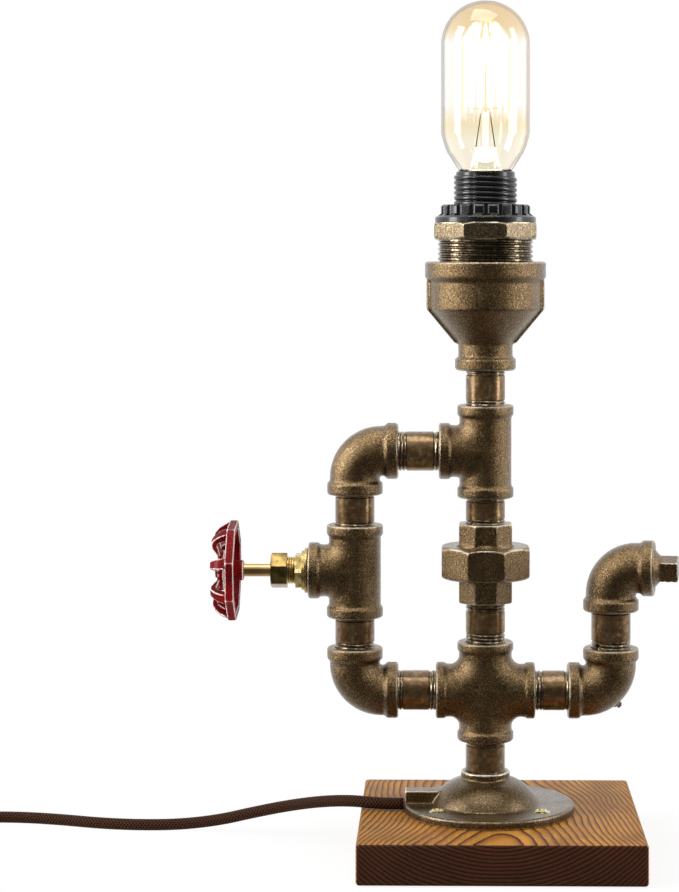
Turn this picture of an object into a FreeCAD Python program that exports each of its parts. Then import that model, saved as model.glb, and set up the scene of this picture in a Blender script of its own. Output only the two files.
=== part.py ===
import FreeCAD, Part
import math
import os

import Sketcher
from FreeCAD import Placement, Rotation, Vector

# Industrial pipe table lamp. Millimetres, +Z up.
# The origin is where the column's axis meets the table.

sizes = {
    # felt and wooden base
    "felt_side": 142,
    "felt_thick": 1.2,
    "felt_show": 0.4,
    "base_side": 150,
    "base_thick": 21.3,
    "base_shift": 7.4,
    "base_round": 1.4,
    "corner_round": 2,
    # half inch pipe
    "pipe_outer": 21.3,
    "pipe_bore": 16,
    "pipe_chamfer": 0.8,
    "thread_grip": 9.5,
    "thread_slack": 0.05,
    "socket_spare": 1,
    "waterway": 17,
    # visible pipe between two fittings
    "gap_flange_cross": 16.5,
    "gap_cross_union": 21,
    "gap_union_tee": 13.7,
    "gap_tee_reducer": 18.6,
    "gap_cross_elbow": 20.4,
    "gap_right_arm": 17.6,
    "gap_right_riser": 19.7,
    # floor flange
    "disc_outer": 92.6,
    "disc_thick": 4.8,
    "disc_shift": 1.8,
    "disc_round": 1.6,
    "dome_foot": 59,
    "dome_top": 28,
    "dome_height": 17.8,
    "dome_bulge": 26,
    "collar_outer": 26.4,
    "flange_height": 22,
    "cavity_wide": 50,
    "cavity_rise": 3.8,
    "cavity_narrow": 27,
    "cavity_height": 10.2,
    "tunnel_wide": 10.5,
    "tunnel_high": 11.7,
    "tunnel_inset": 1,
    "tunnel_place": -1,
    # flange screws
    "screw_along": 27.8,
    "screw_across": 22.4,
    "screw_back": 35.7,
    "screw_head": 9.1,
    "screw_crown": 1.2,
    "screw_shank": 4,
    "screw_length": 19,
    "screw_slack": 0.1,
    # cross
    "cross_reach": 26.8,
    "cross_body": 28.4,
    "cross_band": 30.2,
    "cross_band_wide": 4.6,
    "cross_web": 6,
    # tees
    "tee_reach": 25.2,
    "tee_body": 28,
    "tee_band": 30.3,
    "tee_band_wide": 5.4,
    "tee_web": 2.2,
    # elbows
    "elbow_reach": 23.5,
    "elbow_body": 27,
    "elbow_band": 30,
    "elbow_band_wide": 6,
    "elbow_bend": 14.3,
    "elbow_out_turn": 10,
    "band_round": 1.1,
    # union
    "union_height": 42.9,
    "union_end_flats": 28.6,
    "union_low_end": 13.3,
    "union_high_end": 11.7,
    "union_collar": 0.5,
    "union_nut_flats": 47.4,
    "union_nut_high": 17.4,
    "union_nut_bevel": 2.6,
    "union_nut_lip": 2.6,
    "union_thread": 38,
    "union_flange_high": 4.6,
    "gasket_thick": 2,
    "gasket_bore": 24,
    # bell reducer
    "bell_height": 58.8,
    "bell_band": 65.4,
    "bell_band_high": 10.6,
    "bell_body": 60,
    "bell_cone_top": 33.1,
    "bell_cone_foot": 14.6,
    "bell_neck": 29.3,
    "bell_low_band": 32.4,
    "bell_low_band_high": 7,
    "bell_thread_deep": 22,
    "bell_rib_across": 63.7,
    "bell_rib_wide": 6,
    "bell_wall": 4.5,
    # bushing
    "bush_thread": 52,
    "bush_grip": 15,
    "bush_show": 11.8,
    "bush_flats": 54.9,
    "bush_head_high": 9.6,
    "bush_bevel": 2.4,
    "bush_lip": 7,
    "bush_bore": 43,
    "bush_turn": -1.5,
    # lamp holder
    "skirt_outer": 34.3,
    "skirt_bore": 29.6,
    "skirt_high": 27.4,
    "holder_body": 40,
    "holder_deep": 30,
    "holder_foot": 30,
    "holder_foot_high": 6,
    "shoulder_slack": 0.2,
    "ring_outer": 48.5,
    "ring_foot": 54.7,
    "ring_foot_high": 2.4,
    "ring_high": 9.3,
    "ring_flutes": 20,
    "flute_wide": 4.4,
    "shell_bore": 26.8,
    "shell_wall": 0.4,
    "shell_high": 22,
    "tongue_wide": 6,
    "tongue_thick": 0.6,
    "terminal_apart": 15,
    "terminal_wide": 5,
    "terminal_high": 6,
    # bulb
    "cap_outer": 26.2,
    "cap_high": 22,
    "cap_wall": 0.35,
    "cap_below_rim": 2,
    "cone_high": 3.2,
    "cone_foot": 11,
    "tip_high": 1.6,
    "tip_gap": 0.3,
    "glass_outer": 48,
    "glass_wall": 1,
    "glass_neck": 24.4,
    "glass_height": 94.4,
    "glass_knee": 41.2,
    "glass_knee_high": 12,
    "glass_taper": 23,
    "glass_bend": 40,
    "glass_dome": 22,
    "stem_foot": 18,
    "stem_high": 33,
    "stem_press": 12,
    "stem_rod": 3.2,
    "press_top": 13.9,
    "cage_low": 36,
    "cage_high": 76,
    "cage_wide": 24,
    "cage_strands": 12,
    "strand_thick": 0.7,
    "support_thick": 0.6,
    "lead_foot_out": 5.2,
    "lead_top_out": 2.1,
    # valve
    "bonnet_gap": 0.4,
    "bonnet_flange": 24.4,
    "bonnet_flange_high": 1.4,
    "bonnet_collar": 21.5,
    "bonnet_collar_high": 1.6,
    "bonnet_hex": 17.5,
    "bonnet_hex_high": 3.4,
    "bonnet_turn": 30,
    "bonnet_neck": 13.4,
    "bonnet_neck_show": 4.6,
    "packing_hex": 17,
    "packing_high": 8.8,
    "packing_turn": 50,
    "packing_lip": 2.6,
    "packing_bore": 10,
    "packing_ring_high": 4,
    "stem_outer": 6.8,
    "stem_show": 14.8,
    "stem_square": 4.6,
    "stem_square_high": 8,
    "stem_slack": 0.06,
    # dimmer switch
    "switch_outer": 16.4,
    "switch_long": 13.6,
    "switch_drive": 8,
    # handwheel
    "wheel_outer": 54.6,
    "wheel_thick": 16.7,
    "wheel_ring_inner": 46.4,
    "wheel_ring_low": 3.6,
    "wheel_ring_high": 8.2,
    "wheel_hub": 11,
    "wheel_disc": 21.6,
    "wheel_disc_thick": 3.6,
    "wheel_dip": 1.4,
    "finger_count": 8,
    "finger_wide": 4.2,
    "finger_foot_wide": 6.4,
    "finger_thick": 3.2,
    "finger_shoulder": 37,
    "finger_bend": 9.6,
    "finger_phase": 15,
    "wheel_nut_flats": 7,
    "wheel_nut_high": 1.6,
    # square plug in the right arm
    "plug_gap": 3.2,
    "plug_square": 11,
    "plug_head": 9.8,
    "plug_turn": 16,
    # cord and what is on it
    "cord_outer": 6.3,
    "cord_lift": 0.6,
    "grommet_long": 11,
    "grommet_slack": 0.1,
    "lead_outer": 2.6,
    "lead_apart": 6,
    "lead_aside": 5.4,
    "splice_long": 13,
    "splice_wide": 13,
    "splice_high": 6.4,
    "coil_mean": 72.8,
    "coil_wide": 25.6,
    "coil_high": 12.6,
    "relief_long": 20,
    "relief_wide": 11,
    "mains_body": 32,
    "mains_wide": 25,
    "mains_high": 18,
    "mains_taper": 4,
    "blade_long": 16,
    "blade_wide": 6.4,
    "blade_thick": 1.5,
    "blade_apart": 12.7,
}

octagon_ratio = 1 / math.cos(math.pi / 8)
hexagon_ratio = 1 / math.cos(math.pi / 6)
bend_share = 0.45

doc = FreeCAD.newDocument("pipe_lamp")
sheet = doc.addObject("Spreadsheet::Sheet", "sizes")
for row, (name, number) in enumerate(sizes.items(), start=1):
    sheet.set(f"A{row}", name)
    sheet.set(f"B{row}", str(number))
    sheet.setAlias(f"B{row}", name)
doc.recompute()


class Size:
    # A length together with the formula that ties it to the sheet.
    def __init__(self, value, text=None):
        self.value = float(value)
        self.text = text or repr(float(value))

    def __add__(self, other):
        other = as_size(other)
        return Size(self.value + other.value, f"({self.text} + {other.text})")

    def __radd__(self, other):
        return as_size(other) + self

    def __sub__(self, other):
        other = as_size(other)
        return Size(self.value - other.value, f"({self.text} - {other.text})")

    def __rsub__(self, other):
        return as_size(other) - self

    def __mul__(self, other):
        other = as_size(other)
        return Size(self.value * other.value, f"({self.text} * {other.text})")

    def __rmul__(self, other):
        return as_size(other) * self

    def __truediv__(self, other):
        other = as_size(other)
        return Size(self.value / other.value, f"({self.text} / {other.text})")

    def __neg__(self):
        return Size(-self.value, f"(-1 * {self.text})")


def as_size(number):
    return number if isinstance(number, Size) else Size(number)


def size(name):
    return Size(sheet.get(name), f"sizes.{name}")


class Sizes:
    def __getattr__(self, name):
        return size(name)


of = Sizes()
pieces = []


def bind(item, name, length):
    item.setExpression(name, as_size(length).text)


def place(item, x=0, y=0, z=0, rotation=None):
    item.Placement = Placement(Vector(), rotation or Rotation())
    for axis, length in zip("xyz", (x, y, z)):
        bind(item, f"Placement.Base.{axis}", length)
    return item


def keep(item, label):
    item.Label = label
    pieces.append(item)
    return item


# ---- sketches -------------------------------------------------------------

def pin_point(sketch, item, position, x, y):
    # Ties a point to the sketch's origin, on whichever side of it the point lies.
    for kind, length, axis in (("DistanceX", as_size(x), -2), ("DistanceY", as_size(y), -1)):
        if length.value == 0:
            sketch.addConstraint(Sketcher.Constraint("PointOnObject", item, position, axis))
            continue
        ends = (-1, 1, item, position) if length.value > 0 else (item, position, -1, 1)
        index = sketch.addConstraint(Sketcher.Constraint(kind, *ends, abs(length.value)))
        shown = length if length.value > 0 else -length
        sketch.setExpression(f"Constraints[{index}]", shown.text)


def arc_between(first, last, radius):
    # A positive radius bulges to the right of the way from first to last.
    chord = last - first
    side = Vector(chord.y, -chord.x, 0).normalize()
    rise = math.sqrt(radius ** 2 - (chord.Length / 2) ** 2)
    centre = (first + last) * 0.5 - side * math.copysign(rise, radius)
    circle = Part.Circle(centre, Vector(0, 0, 1), abs(radius))
    angles = [math.atan2(point.y - centre.y, point.x - centre.x) for point in (first, last)]
    if radius < 0:
        angles.reverse()
    return Part.ArcOfCircle(circle, *angles)


def draw_outline(sketch, points):
    # Each point is (x, y), reached by a line, or (x, y, radius), reached by an arc.
    edges = []
    for first, last in zip(points, points[1:] + points[:1]):
        start, end = (Vector(as_size(p[0]).value, as_size(p[1]).value, 0) for p in (first, last))
        if len(last) == 2:
            edges.append((sketch.addGeometry(Part.LineSegment(start, end), False), 1, 2))
            continue
        radius = as_size(last[2])
        index = sketch.addGeometry(arc_between(start, end, radius.value), False)
        edges.append((index, 1, 2) if radius.value > 0 else (index, 2, 1))
        bend = sketch.addConstraint(Sketcher.Constraint("Radius", index, abs(radius.value)))
        shown = radius if radius.value > 0 else -radius
        sketch.setExpression(f"Constraints[{bend}]", shown.text)
    for (item, start, end), (following, start_after, end_after) in zip(edges, edges[1:] + edges[:1]):
        sketch.addConstraint(Sketcher.Constraint("Coincident", item, end, following, start_after))
    for (item, start, end), point in zip(edges, points):
        pin_point(sketch, item, start, point[0], point[1])


def draw_circles(sketch, centres, diameter):
    for x, y in centres:
        x, y = as_size(x), as_size(y)
        circle = Part.Circle(Vector(x.value, y.value, 0), Vector(0, 0, 1), diameter.value / 2)
        index = sketch.addGeometry(circle, False)
        bend = sketch.addConstraint(Sketcher.Constraint("Radius", index, diameter.value / 2))
        sketch.setExpression(f"Constraints[{bend}]", (diameter / 2).text)
        pin_point(sketch, index, 3, x, y)


def cap_radius(half_wide, high):
    # The radius of a round cap that stands this high over its rim.
    return (half_wide * half_wide + high * high) / (high * 2)


def rectangle(low_x, high_x, low_y, high_y):
    return [(low_x, low_y), (high_x, low_y), (high_x, high_y), (low_x, high_y)]


def body_sketch(body, name, plane, height=None):
    sketch = body.newObject("Sketcher::SketchObject", name)
    support = next(item for item in body.Origin.OriginFeatures if item.Role == plane)
    sketch.AttachmentSupport = [(support, "")]
    sketch.MapMode = "FlatFace"
    if height is not None:
        bind(sketch, "AttachmentOffset.Base.z", height)
    return sketch


# ---- features -------------------------------------------------------------

def new_body(label):
    return keep(doc.addObject("PartDesign::Body", label), label)


def turn_in(body, name, points, cut=False):
    sketch = body_sketch(body, name + "_outline", "XZ_Plane")
    draw_outline(sketch, points)
    kind = "PartDesign::Groove" if cut else "PartDesign::Revolution"
    feature = body.newObject(kind, name)
    feature.Profile = sketch
    feature.ReferenceAxis = (sketch, ["V_Axis"])
    feature.Angle = 360
    return feature


def pad_in(body, name, sketch, length, midplane=False):
    feature = body.newObject("PartDesign::Pad", name)
    feature.Profile = sketch
    feature.Midplane = midplane
    bind(feature, "Length", length)
    return feature


def pocket_in(body, name, sketch, length=None, reverse=True):
    feature = body.newObject("PartDesign::Pocket", name)
    feature.Profile = sketch
    feature.Reversed = reverse
    if length is None:
        feature.Type = "ThroughAll"
    else:
        bind(feature, "Length", length)
    return feature


def ring_of(body, name, feature, count, axis):
    pattern = body.newObject("PartDesign::PolarPattern", name)
    pattern.Originals = [feature]
    pattern.Axis = (feature.Profile[0], [axis])
    pattern.Angle = 360
    bind(pattern, "Occurrences", count)
    body.Tip = pattern
    return pattern


def round_in(body, name, feature, radius, wanted):
    doc.recompute()
    edges = [f"Edge{n}" for n, edge in enumerate(feature.Shape.Edges, start=1) if wanted(edge)]
    rounding = body.newObject("PartDesign::Fillet", name)
    rounding.Base = (feature, edges)
    bind(rounding, "Radius", radius)
    return rounding


def turned(label, points, **where):
    body = new_body(label)
    turn_in(body, label + "_turning", points)
    return place(body, **where)


def revolved(name, points, rotation=None):
    sketch = doc.addObject("Sketcher::SketchObject", name + "_outline")
    sketch.Placement = Placement(Vector(), Rotation(Vector(1, 0, 0), 90))
    draw_outline(sketch, points)
    solid = doc.addObject("Part::Revolution", name)
    solid.Source = sketch
    solid.Axis = Vector(0, 0, 1)
    solid.Angle = 360
    solid.Solid = True
    solid.Placement = Placement(Vector(), rotation or Rotation())
    return solid


def block(name, long, wide, high, **where):
    box = doc.addObject("Part::Box", name)
    for side, length in (("Length", long), ("Width", wide), ("Height", high)):
        bind(box, side, length)
    return place(box, **where)


def rod(name, diameter, high, **where):
    cylinder = doc.addObject("Part::Cylinder", name)
    bind(cylinder, "Radius", as_size(diameter) / 2)
    bind(cylinder, "Height", high)
    return place(cylinder, **where)


def prism(name, sides, ratio, flats, high, **where):
    solid = doc.addObject("Part::Prism", name)
    solid.Polygon = sides
    bind(solid, "Circumradius", as_size(flats) / 2 * ratio)
    bind(solid, "Height", high)
    return place(solid, **where)


def joined(name, solids):
    fuse = doc.addObject("Part::MultiFuse", name)
    fuse.Shapes = solids
    return fuse


def shared(name, solids):
    common = doc.addObject("Part::MultiCommon", name)
    common.Shapes = solids
    return common


def carved(name, base, tool):
    cut = doc.addObject("Part::Cut", name)
    cut.Base = base
    cut.Tool = tool
    return cut


def tube_outline(outer, bore, low, high):
    return [(bore / 2, low), (outer / 2, low), (outer / 2, high), (bore / 2, high)]


# Turns local +Z towards the named side.
towards = {
    "up": Rotation(),
    "down": Rotation(Vector(1, 0, 0), 180),
    "right": Rotation(Vector(0, 1, 0), 90),
    "left": Rotation(Vector(0, 1, 0), -90),
}

# ---- heights and places that several pieces share -------------------------

base_top = of.felt_show + of.base_thick
flange_top = base_top + of.flange_height
cross_mid = flange_top + of.gap_flange_cross + of.cross_reach
union_foot = cross_mid + of.cross_reach + of.gap_cross_union
union_top = union_foot + of.union_height
tee_mid = union_top + of.gap_union_tee + of.tee_reach
bell_foot = tee_mid + of.tee_reach + of.gap_tee_reducer
bell_top = bell_foot + of.bell_height
bush_head_foot = bell_top + of.bush_show
bush_top = bush_head_foot + of.bush_head_high
ring_top = bush_top + of.ring_high
rim = bush_top + of.skirt_high
left_x = -(of.cross_reach + of.gap_cross_elbow + of.elbow_reach)
left_tee_mid = (cross_mid + tee_mid) / 2
left_gap = (tee_mid - cross_mid) / 2 - of.elbow_reach - of.tee_reach
upper_gap = -left_x - of.tee_reach - of.elbow_reach
right_x = of.cross_reach + of.gap_right_arm + of.elbow_reach
right_top_mid = cross_mid + of.elbow_reach * 2 + of.gap_right_riser
socket = of.pipe_outer + of.thread_slack * 2
socket_deep = of.thread_grip + of.socket_spare


# ---- base -----------------------------------------------------------------

def plate(label, side, thick, round_edges, **where):
    body = new_body(label)
    sketch = body_sketch(body, label + "_square", "XY_Plane")
    draw_outline(sketch, rectangle(-side / 2, side / 2, -side / 2, side / 2))
    pad = pad_in(body, label + "_pad", sketch, thick)
    upright = lambda edge: abs(edge.Vertexes[0].Z - edge.Vertexes[-1].Z) > thick.value / 2
    rounding = round_in(body, label + "_corners", pad, of.corner_round, upright)
    if round_edges:
        top = lambda edge: all(abs(v.Z - thick.value) < 0.01 for v in edge.Vertexes)
        rounding = round_in(body, label + "_arris", rounding, of.base_round, top)
    return place(body, **where)


# Two screws in front of the dome and one behind it.
screw_spots = [(-of.screw_along, -of.screw_across), (of.screw_along, -of.screw_across),
               (0, of.screw_back)]

plate("base_felt", of.felt_side, of.felt_thick, False, x=of.base_shift)
wood = plate("wood_base", of.base_side, of.base_thick, True, x=of.base_shift, z=of.felt_show)
pilots = body_sketch(wood, "pilot_holes", "XY_Plane", of.base_thick)
draw_circles(pilots, [(x + of.disc_shift - of.base_shift, y) for x, y in screw_spots],
             of.screw_shank + of.screw_slack)
pocket_in(wood, "pilot_drilling", pilots, of.screw_length - of.disc_thick + of.screw_slack,
          reverse=False)
recess = body_sketch(wood, "felt_recess", "XY_Plane")
half_recess = of.felt_side / 2 + of.thread_slack * 2
draw_outline(recess, rectangle(-half_recess, half_recess, -half_recess, half_recess))
pocket_in(wood, "felt_bed", recess, of.felt_thick - of.felt_show)


# ---- floor flange and its screws ------------------------------------------

def floor_flange():
    body = new_body("floor_flange")
    disc = body_sketch(body, "disc_circle", "XY_Plane")
    draw_circles(disc, [(of.disc_shift, 0)], of.disc_outer)
    pad = pad_in(body, "disc", disc, of.disc_thick)
    top = lambda edge: len(edge.Vertexes) == 1 and edge.Vertexes[0].Z > of.disc_thick.value / 2
    round_in(body, "disc_edge", pad, of.disc_round, top)
    turn_in(body, "dome", [
        (0, 0), (of.dome_foot / 2, 0), (of.dome_foot / 2, of.disc_thick),
        (of.dome_top / 2, of.dome_height, of.dome_bulge),
        (of.collar_outer / 2, of.dome_height),
        (of.collar_outer / 2, of.flange_height), (0, of.flange_height)])
    tunnel = body_sketch(body, "tunnel_plan", "XY_Plane")
    mouth = of.disc_shift - of.disc_outer / 2 + of.tunnel_inset
    draw_outline(tunnel, rectangle(mouth, -of.collar_outer / 2,
                                   of.tunnel_place - of.tunnel_wide / 2,
                                   of.tunnel_place + of.tunnel_wide / 2))
    pad_in(body, "tunnel", tunnel, of.tunnel_high)
    turn_in(body, "hollow", [
        (0, 0), (of.cavity_wide / 2, 0), (of.cavity_wide / 2, of.cavity_rise),
        (of.cavity_narrow / 2, of.cavity_height), (of.waterway / 2, of.cavity_height),
        (of.waterway / 2, of.flange_height - socket_deep),
        (socket / 2, of.flange_height - socket_deep),
        (socket / 2, of.flange_height), (0, of.flange_height)], cut=True)
    channel = body_sketch(body, "channel_plan", "XY_Plane")
    half_channel = of.cord_outer / 2 + of.cord_lift
    draw_outline(channel, rectangle(of.disc_shift - of.disc_outer, -of.collar_outer / 2,
                                    of.tunnel_place - half_channel,
                                    of.tunnel_place + half_channel))
    pocket_in(body, "channel", channel, half_channel * 2)
    spots = body_sketch(body, "screw_spots", "XY_Plane", of.disc_thick)
    centres = [(x + of.disc_shift, y) for x, y in screw_spots]
    draw_circles(spots, centres, of.screw_shank + of.screw_slack * 2)
    doc.recompute()
    holes = body.newObject("PartDesign::Hole", "screw_holes")
    holes.Profile = spots
    holes.DepthType = "ThroughAll"
    holes.Threaded = False
    bind(holes, "Diameter", of.screw_shank + of.screw_slack * 2)
    holes.HoleCutType = "Countersink"
    holes.HoleCutCustomValues = True
    bind(holes, "HoleCutDiameter", of.screw_head + of.screw_slack * 2)
    holes.HoleCutCountersinkAngle = 90
    return place(body, z=base_top)


def flange_screws():
    sink = (of.screw_head - of.screw_shank) / 2
    outline = [
        (0, 0), (of.screw_shank / 2, of.screw_shank / 2),
        (of.screw_shank / 2, of.screw_length - sink), (of.screw_head / 2, of.screw_length),
        (0, of.screw_length + of.screw_crown, cap_radius(of.screw_head / 2, of.screw_crown))]
    screws = []
    for number, (x, y) in enumerate(screw_spots, start=1):
        screw = revolved(f"screw_{number}", outline)
        screws.append(place(screw, x=x + of.disc_shift, y=y,
                            z=base_top + of.disc_thick - of.screw_length))
    group = doc.addObject("Part::Compound", "flange_screws")
    group.Links = screws
    keep(group, "flange_screws")


floor_flange()
flange_screws()


# ---- nipples ---------------------------------------------------------------

def nipple(label, gap, start, rotation=None):
    # The pipe shows for the gap and grips the fitting at each end.
    half, bore, cut = of.pipe_outer / 2, of.pipe_bore / 2, of.pipe_chamfer
    length = gap + of.thread_grip * 2
    turned(label, [
        (bore, 0), (half - cut, 0), (half, cut),
        (half, length - cut), (half - cut, length), (bore, length)],
        rotation=rotation, **start)


def column_nipple(label, gap, foot, x=0):
    nipple(label, gap, {"x": x, "z": foot - of.thread_grip})


def arm_nipple(label, gap, start, height):
    nipple(label, gap, {"x": start - of.thread_grip, "z": height}, towards["right"])


column_nipple("nipple_flange_cross", of.gap_flange_cross, flange_top)
column_nipple("nipple_cross_union", of.gap_cross_union, cross_mid + of.cross_reach)
column_nipple("nipple_union_tee", of.gap_union_tee, union_top)
column_nipple("nipple_tee_reducer", of.gap_tee_reducer, tee_mid + of.tee_reach)
column_nipple("nipple_left_lower", left_gap, cross_mid + of.elbow_reach, left_x)
column_nipple("nipple_left_upper", left_gap, left_tee_mid + of.tee_reach, left_x)
column_nipple("nipple_right_riser", of.gap_right_riser, cross_mid + of.elbow_reach, right_x)
arm_nipple("nipple_cross_left", of.gap_cross_elbow, left_x + of.elbow_reach, cross_mid)
arm_nipple("nipple_elbow_tee", upper_gap, left_x + of.elbow_reach, tee_mid)
arm_nipple("nipple_cross_right", of.gap_right_arm, of.cross_reach, cross_mid)


# ---- cast fittings -----------------------------------------------------------

def arm_outline(kind, start):
    # One arm of a fitting: a round barrel that ends in a thicker band.
    body, band = size(kind + "_body") / 2, size(kind + "_band") / 2
    reach, wide = size(kind + "_reach"), size(kind + "_band_wide")
    soft = of.band_round
    return [
        (0, start), (body, start), (body, reach - wide - (band - body)),
        (band, reach - wide), (band, reach - soft), (band - soft, reach, soft), (0, reach)]


def socket_outline(kind):
    reach = size(kind + "_reach")
    return [(0, reach - socket_deep), (socket / 2, reach - socket_deep),
            (socket / 2, reach + 1), (0, reach + 1)]


def arm_bore(kind):
    way = of.waterway / 2
    return [(0, 0), (way, 0), (way, size(kind + "_reach") - socket_deep)] + \
        socket_outline(kind)[1:]


def quarter_ring(name, major, minor, side_x, side_z):
    # A quarter of a ring that turns the side_x arm into the side_z arm.
    sketch = doc.addObject("Sketcher::SketchObject", name + "_circle")
    sketch.Placement = Placement(Vector(), Rotation(Vector(1, 0, 0), 90))
    draw_circles(sketch, [(major, 0)], as_size(minor) * 2)
    ring = doc.addObject("Part::Revolution", name)
    ring.Source = sketch
    ring.Axis = Vector(0, 0, 1)
    ring.Angle = 90
    ring.Solid = True
    axes = (Vector(-side_x, 0, 0), Vector(0, 0, -side_z), Vector(0, -side_x * side_z, 0))
    return place(ring, x=major * side_x, z=major * side_z, rotation=Rotation(*axes, "XYZ"))


def branched(label, kind, arms, **where):
    # A tee or a cross: arms from one centre, with a web rounding each inside corner.
    signs = {"right": (1, 0), "left": (-1, 0), "up": (0, 1), "down": (0, -1)}
    outers = [revolved(f"{label}_{arm}", arm_outline(kind, 0), towards[arm]) for arm in arms]
    bores = [revolved(f"{label}_{arm}_bore", arm_bore(kind), towards[arm]) for arm in arms]
    thin = size(kind + "_body") / 2 - 0.3
    webs = [quarter_ring(f"{label}_web_{flat}_{upright}", thin + size(kind + "_web"), thin,
                         signs[flat][0], signs[upright][1])
            for flat in arms if signs[flat][0] for upright in arms if signs[upright][1]]
    outside = joined(label + "_outside", outers + webs)
    inside = joined(label + "_inside", bores)
    fitting = keep(carved(label, outside, inside), label)
    return place(fitting, **where)


def elbow(label, **where):
    # Arms towards +X and +Z, joined by a quarter bend.
    arms = ("right", "up")
    bend = of.elbow_bend
    outers = [revolved(f"{label}_{arm}", arm_outline("elbow", bend), towards[arm]) for arm in arms]
    sockets = [revolved(f"{label}_{arm}_socket", socket_outline("elbow"), towards[arm])
               for arm in arms]
    outside = joined(label + "_outside",
                     outers + [quarter_ring(label + "_bend", bend, of.elbow_body / 2, 1, 1)])
    inside = joined(label + "_inside",
                    sockets + [quarter_ring(label + "_way", of.elbow_reach - socket_deep,
                                            of.waterway / 2, 1, 1)])
    fitting = keep(carved(label, outside, inside), label)
    return place(fitting, **where)


branched("cross_fitting", "cross", ("right", "left", "up", "down"), z=cross_mid)
branched("tee_column", "tee", ("left", "up", "down"), z=tee_mid)
branched("tee_left", "tee", ("left", "up", "down"), x=left_x, z=left_tee_mid)
elbow("elbow_left_lower", x=left_x, z=cross_mid)
elbow("elbow_left_upper", x=left_x, z=tee_mid, rotation=towards["down"])
elbow("elbow_right_lower", x=right_x, z=cross_mid, rotation=Rotation(Vector(0, 0, 1), 180))
out_turn = Rotation(Vector(0, 0, 1), -of.elbow_out_turn.value)
elbow("elbow_right_upper", x=right_x, z=right_top_mid, rotation=out_turn * towards["down"])


def square_plug():
    reach = of.elbow_reach
    start = reach - of.thread_grip
    neck = of.plug_square + of.pipe_chamfer * 4
    shank = revolved("plug_shank", [
        (0, start), (of.pipe_outer / 2, start), (of.pipe_outer / 2, reach),
        (neck / 2, reach + of.plug_gap), (0, reach + of.plug_gap)])
    half = of.plug_square / 2
    head = block("plug_square_head", of.plug_square, of.plug_square, of.plug_head,
                 x=-half, y=-half, z=reach + of.plug_gap)
    turned_head = doc.addObject("Part::Compound", "plug_head_turned")
    turned_head.Links = [head]
    place(turned_head, rotation=Rotation(Vector(0, 0, 1), of.plug_turn.value))
    plug = keep(joined("square_plug", [shank, turned_head]), "square_plug")
    place(plug, x=right_x, z=right_top_mid, rotation=out_turn * towards["right"])


square_plug()


# ---- union --------------------------------------------------------------------

def octagon(name, flats, low, high, bevel, turn=22.5):
    # An octagonal bar with its corners bevelled at both ends, one flat to the front.
    bar = prism(name + "_bar", 8, octagon_ratio, flats, high - low, z=low,
                rotation=Rotation(Vector(0, 0, 1), turn))
    corner = as_size(flats) / 2 * octagon_ratio + 0.1
    cone = revolved(name + "_bevel", [
        (0, low), (corner - bevel, low), (corner, low + bevel * 0.6),
        (corner, high - bevel * 0.6), (corner - bevel, high), (0, high)])
    return shared(name, [bar, cone])


def union():
    nut_low = of.union_low_end
    nut_high = nut_low + of.union_nut_high
    lip_foot = nut_high - of.union_nut_lip
    flange_foot = lip_foot - of.union_flange_high
    gasket_foot = flange_foot - of.gasket_thick
    thread = of.union_thread / 2
    end_round = of.union_end_flats / 2
    slack = of.thread_slack * 4

    low = joined("union_low_outside", [
        octagon("union_low_octagon", of.union_end_flats, Size(0), nut_low, Size(0.8)),
        revolved("union_low_thread", [(0, nut_low), (end_round, nut_low),
                                      (thread - 3, nut_low + of.union_collar),
                                      (thread, nut_low + 2.5), (thread, gasket_foot),
                                      (0, gasket_foot)])])
    low_bore = revolved("union_low_bore", [
        (0, -1), (socket / 2, -1), (socket / 2, socket_deep), (of.waterway / 2, socket_deep),
        (of.waterway / 2, gasket_foot + 1), (0, gasket_foot + 1)])
    place(keep(carved("union_lower", low, low_bore), "union_lower"), z=union_foot)

    gasket = tube_outline(of.union_thread - of.thread_slack * 4, of.gasket_bore,
                          gasket_foot, flange_foot)
    turned("union_gasket", gasket, z=union_foot)

    high = joined("union_high_outside", [
        octagon("union_high_octagon", of.union_end_flats, of.union_height - of.union_high_end,
                of.union_height, Size(0.8)),
        revolved("union_high_flange", [
            (0, flange_foot), (thread - slack, flange_foot), (thread - slack, lip_foot - slack),
            (end_round + 1, lip_foot - slack), (end_round + 1, nut_high + of.union_collar),
            (0, nut_high + of.union_collar)])])
    high_bore = revolved("union_high_bore", [
        (0, flange_foot - 1), (of.waterway / 2, flange_foot - 1),
        (of.waterway / 2, of.union_height - socket_deep),
        (socket / 2, of.union_height - socket_deep), (socket / 2, of.union_height + 1),
        (0, of.union_height + 1)])
    place(keep(carved("union_upper", high, high_bore), "union_upper"), z=union_foot)

    nut = octagon("union_nut_outside", of.union_nut_flats, nut_low, nut_high,
                  of.union_nut_bevel)
    nut_bore = revolved("union_nut_bore", [
        (0, nut_low - 1), (thread + of.thread_slack, nut_low - 1),
        (thread + of.thread_slack, lip_foot), (end_round + 1 + slack, lip_foot),
        (end_round + 1 + slack, nut_high + 1), (0, nut_high + 1)])
    place(keep(carved("union_nut", nut, nut_bore), "union_nut"), z=union_foot)


union()


# ---- bell reducer and bushing ----------------------------------------------------

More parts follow.
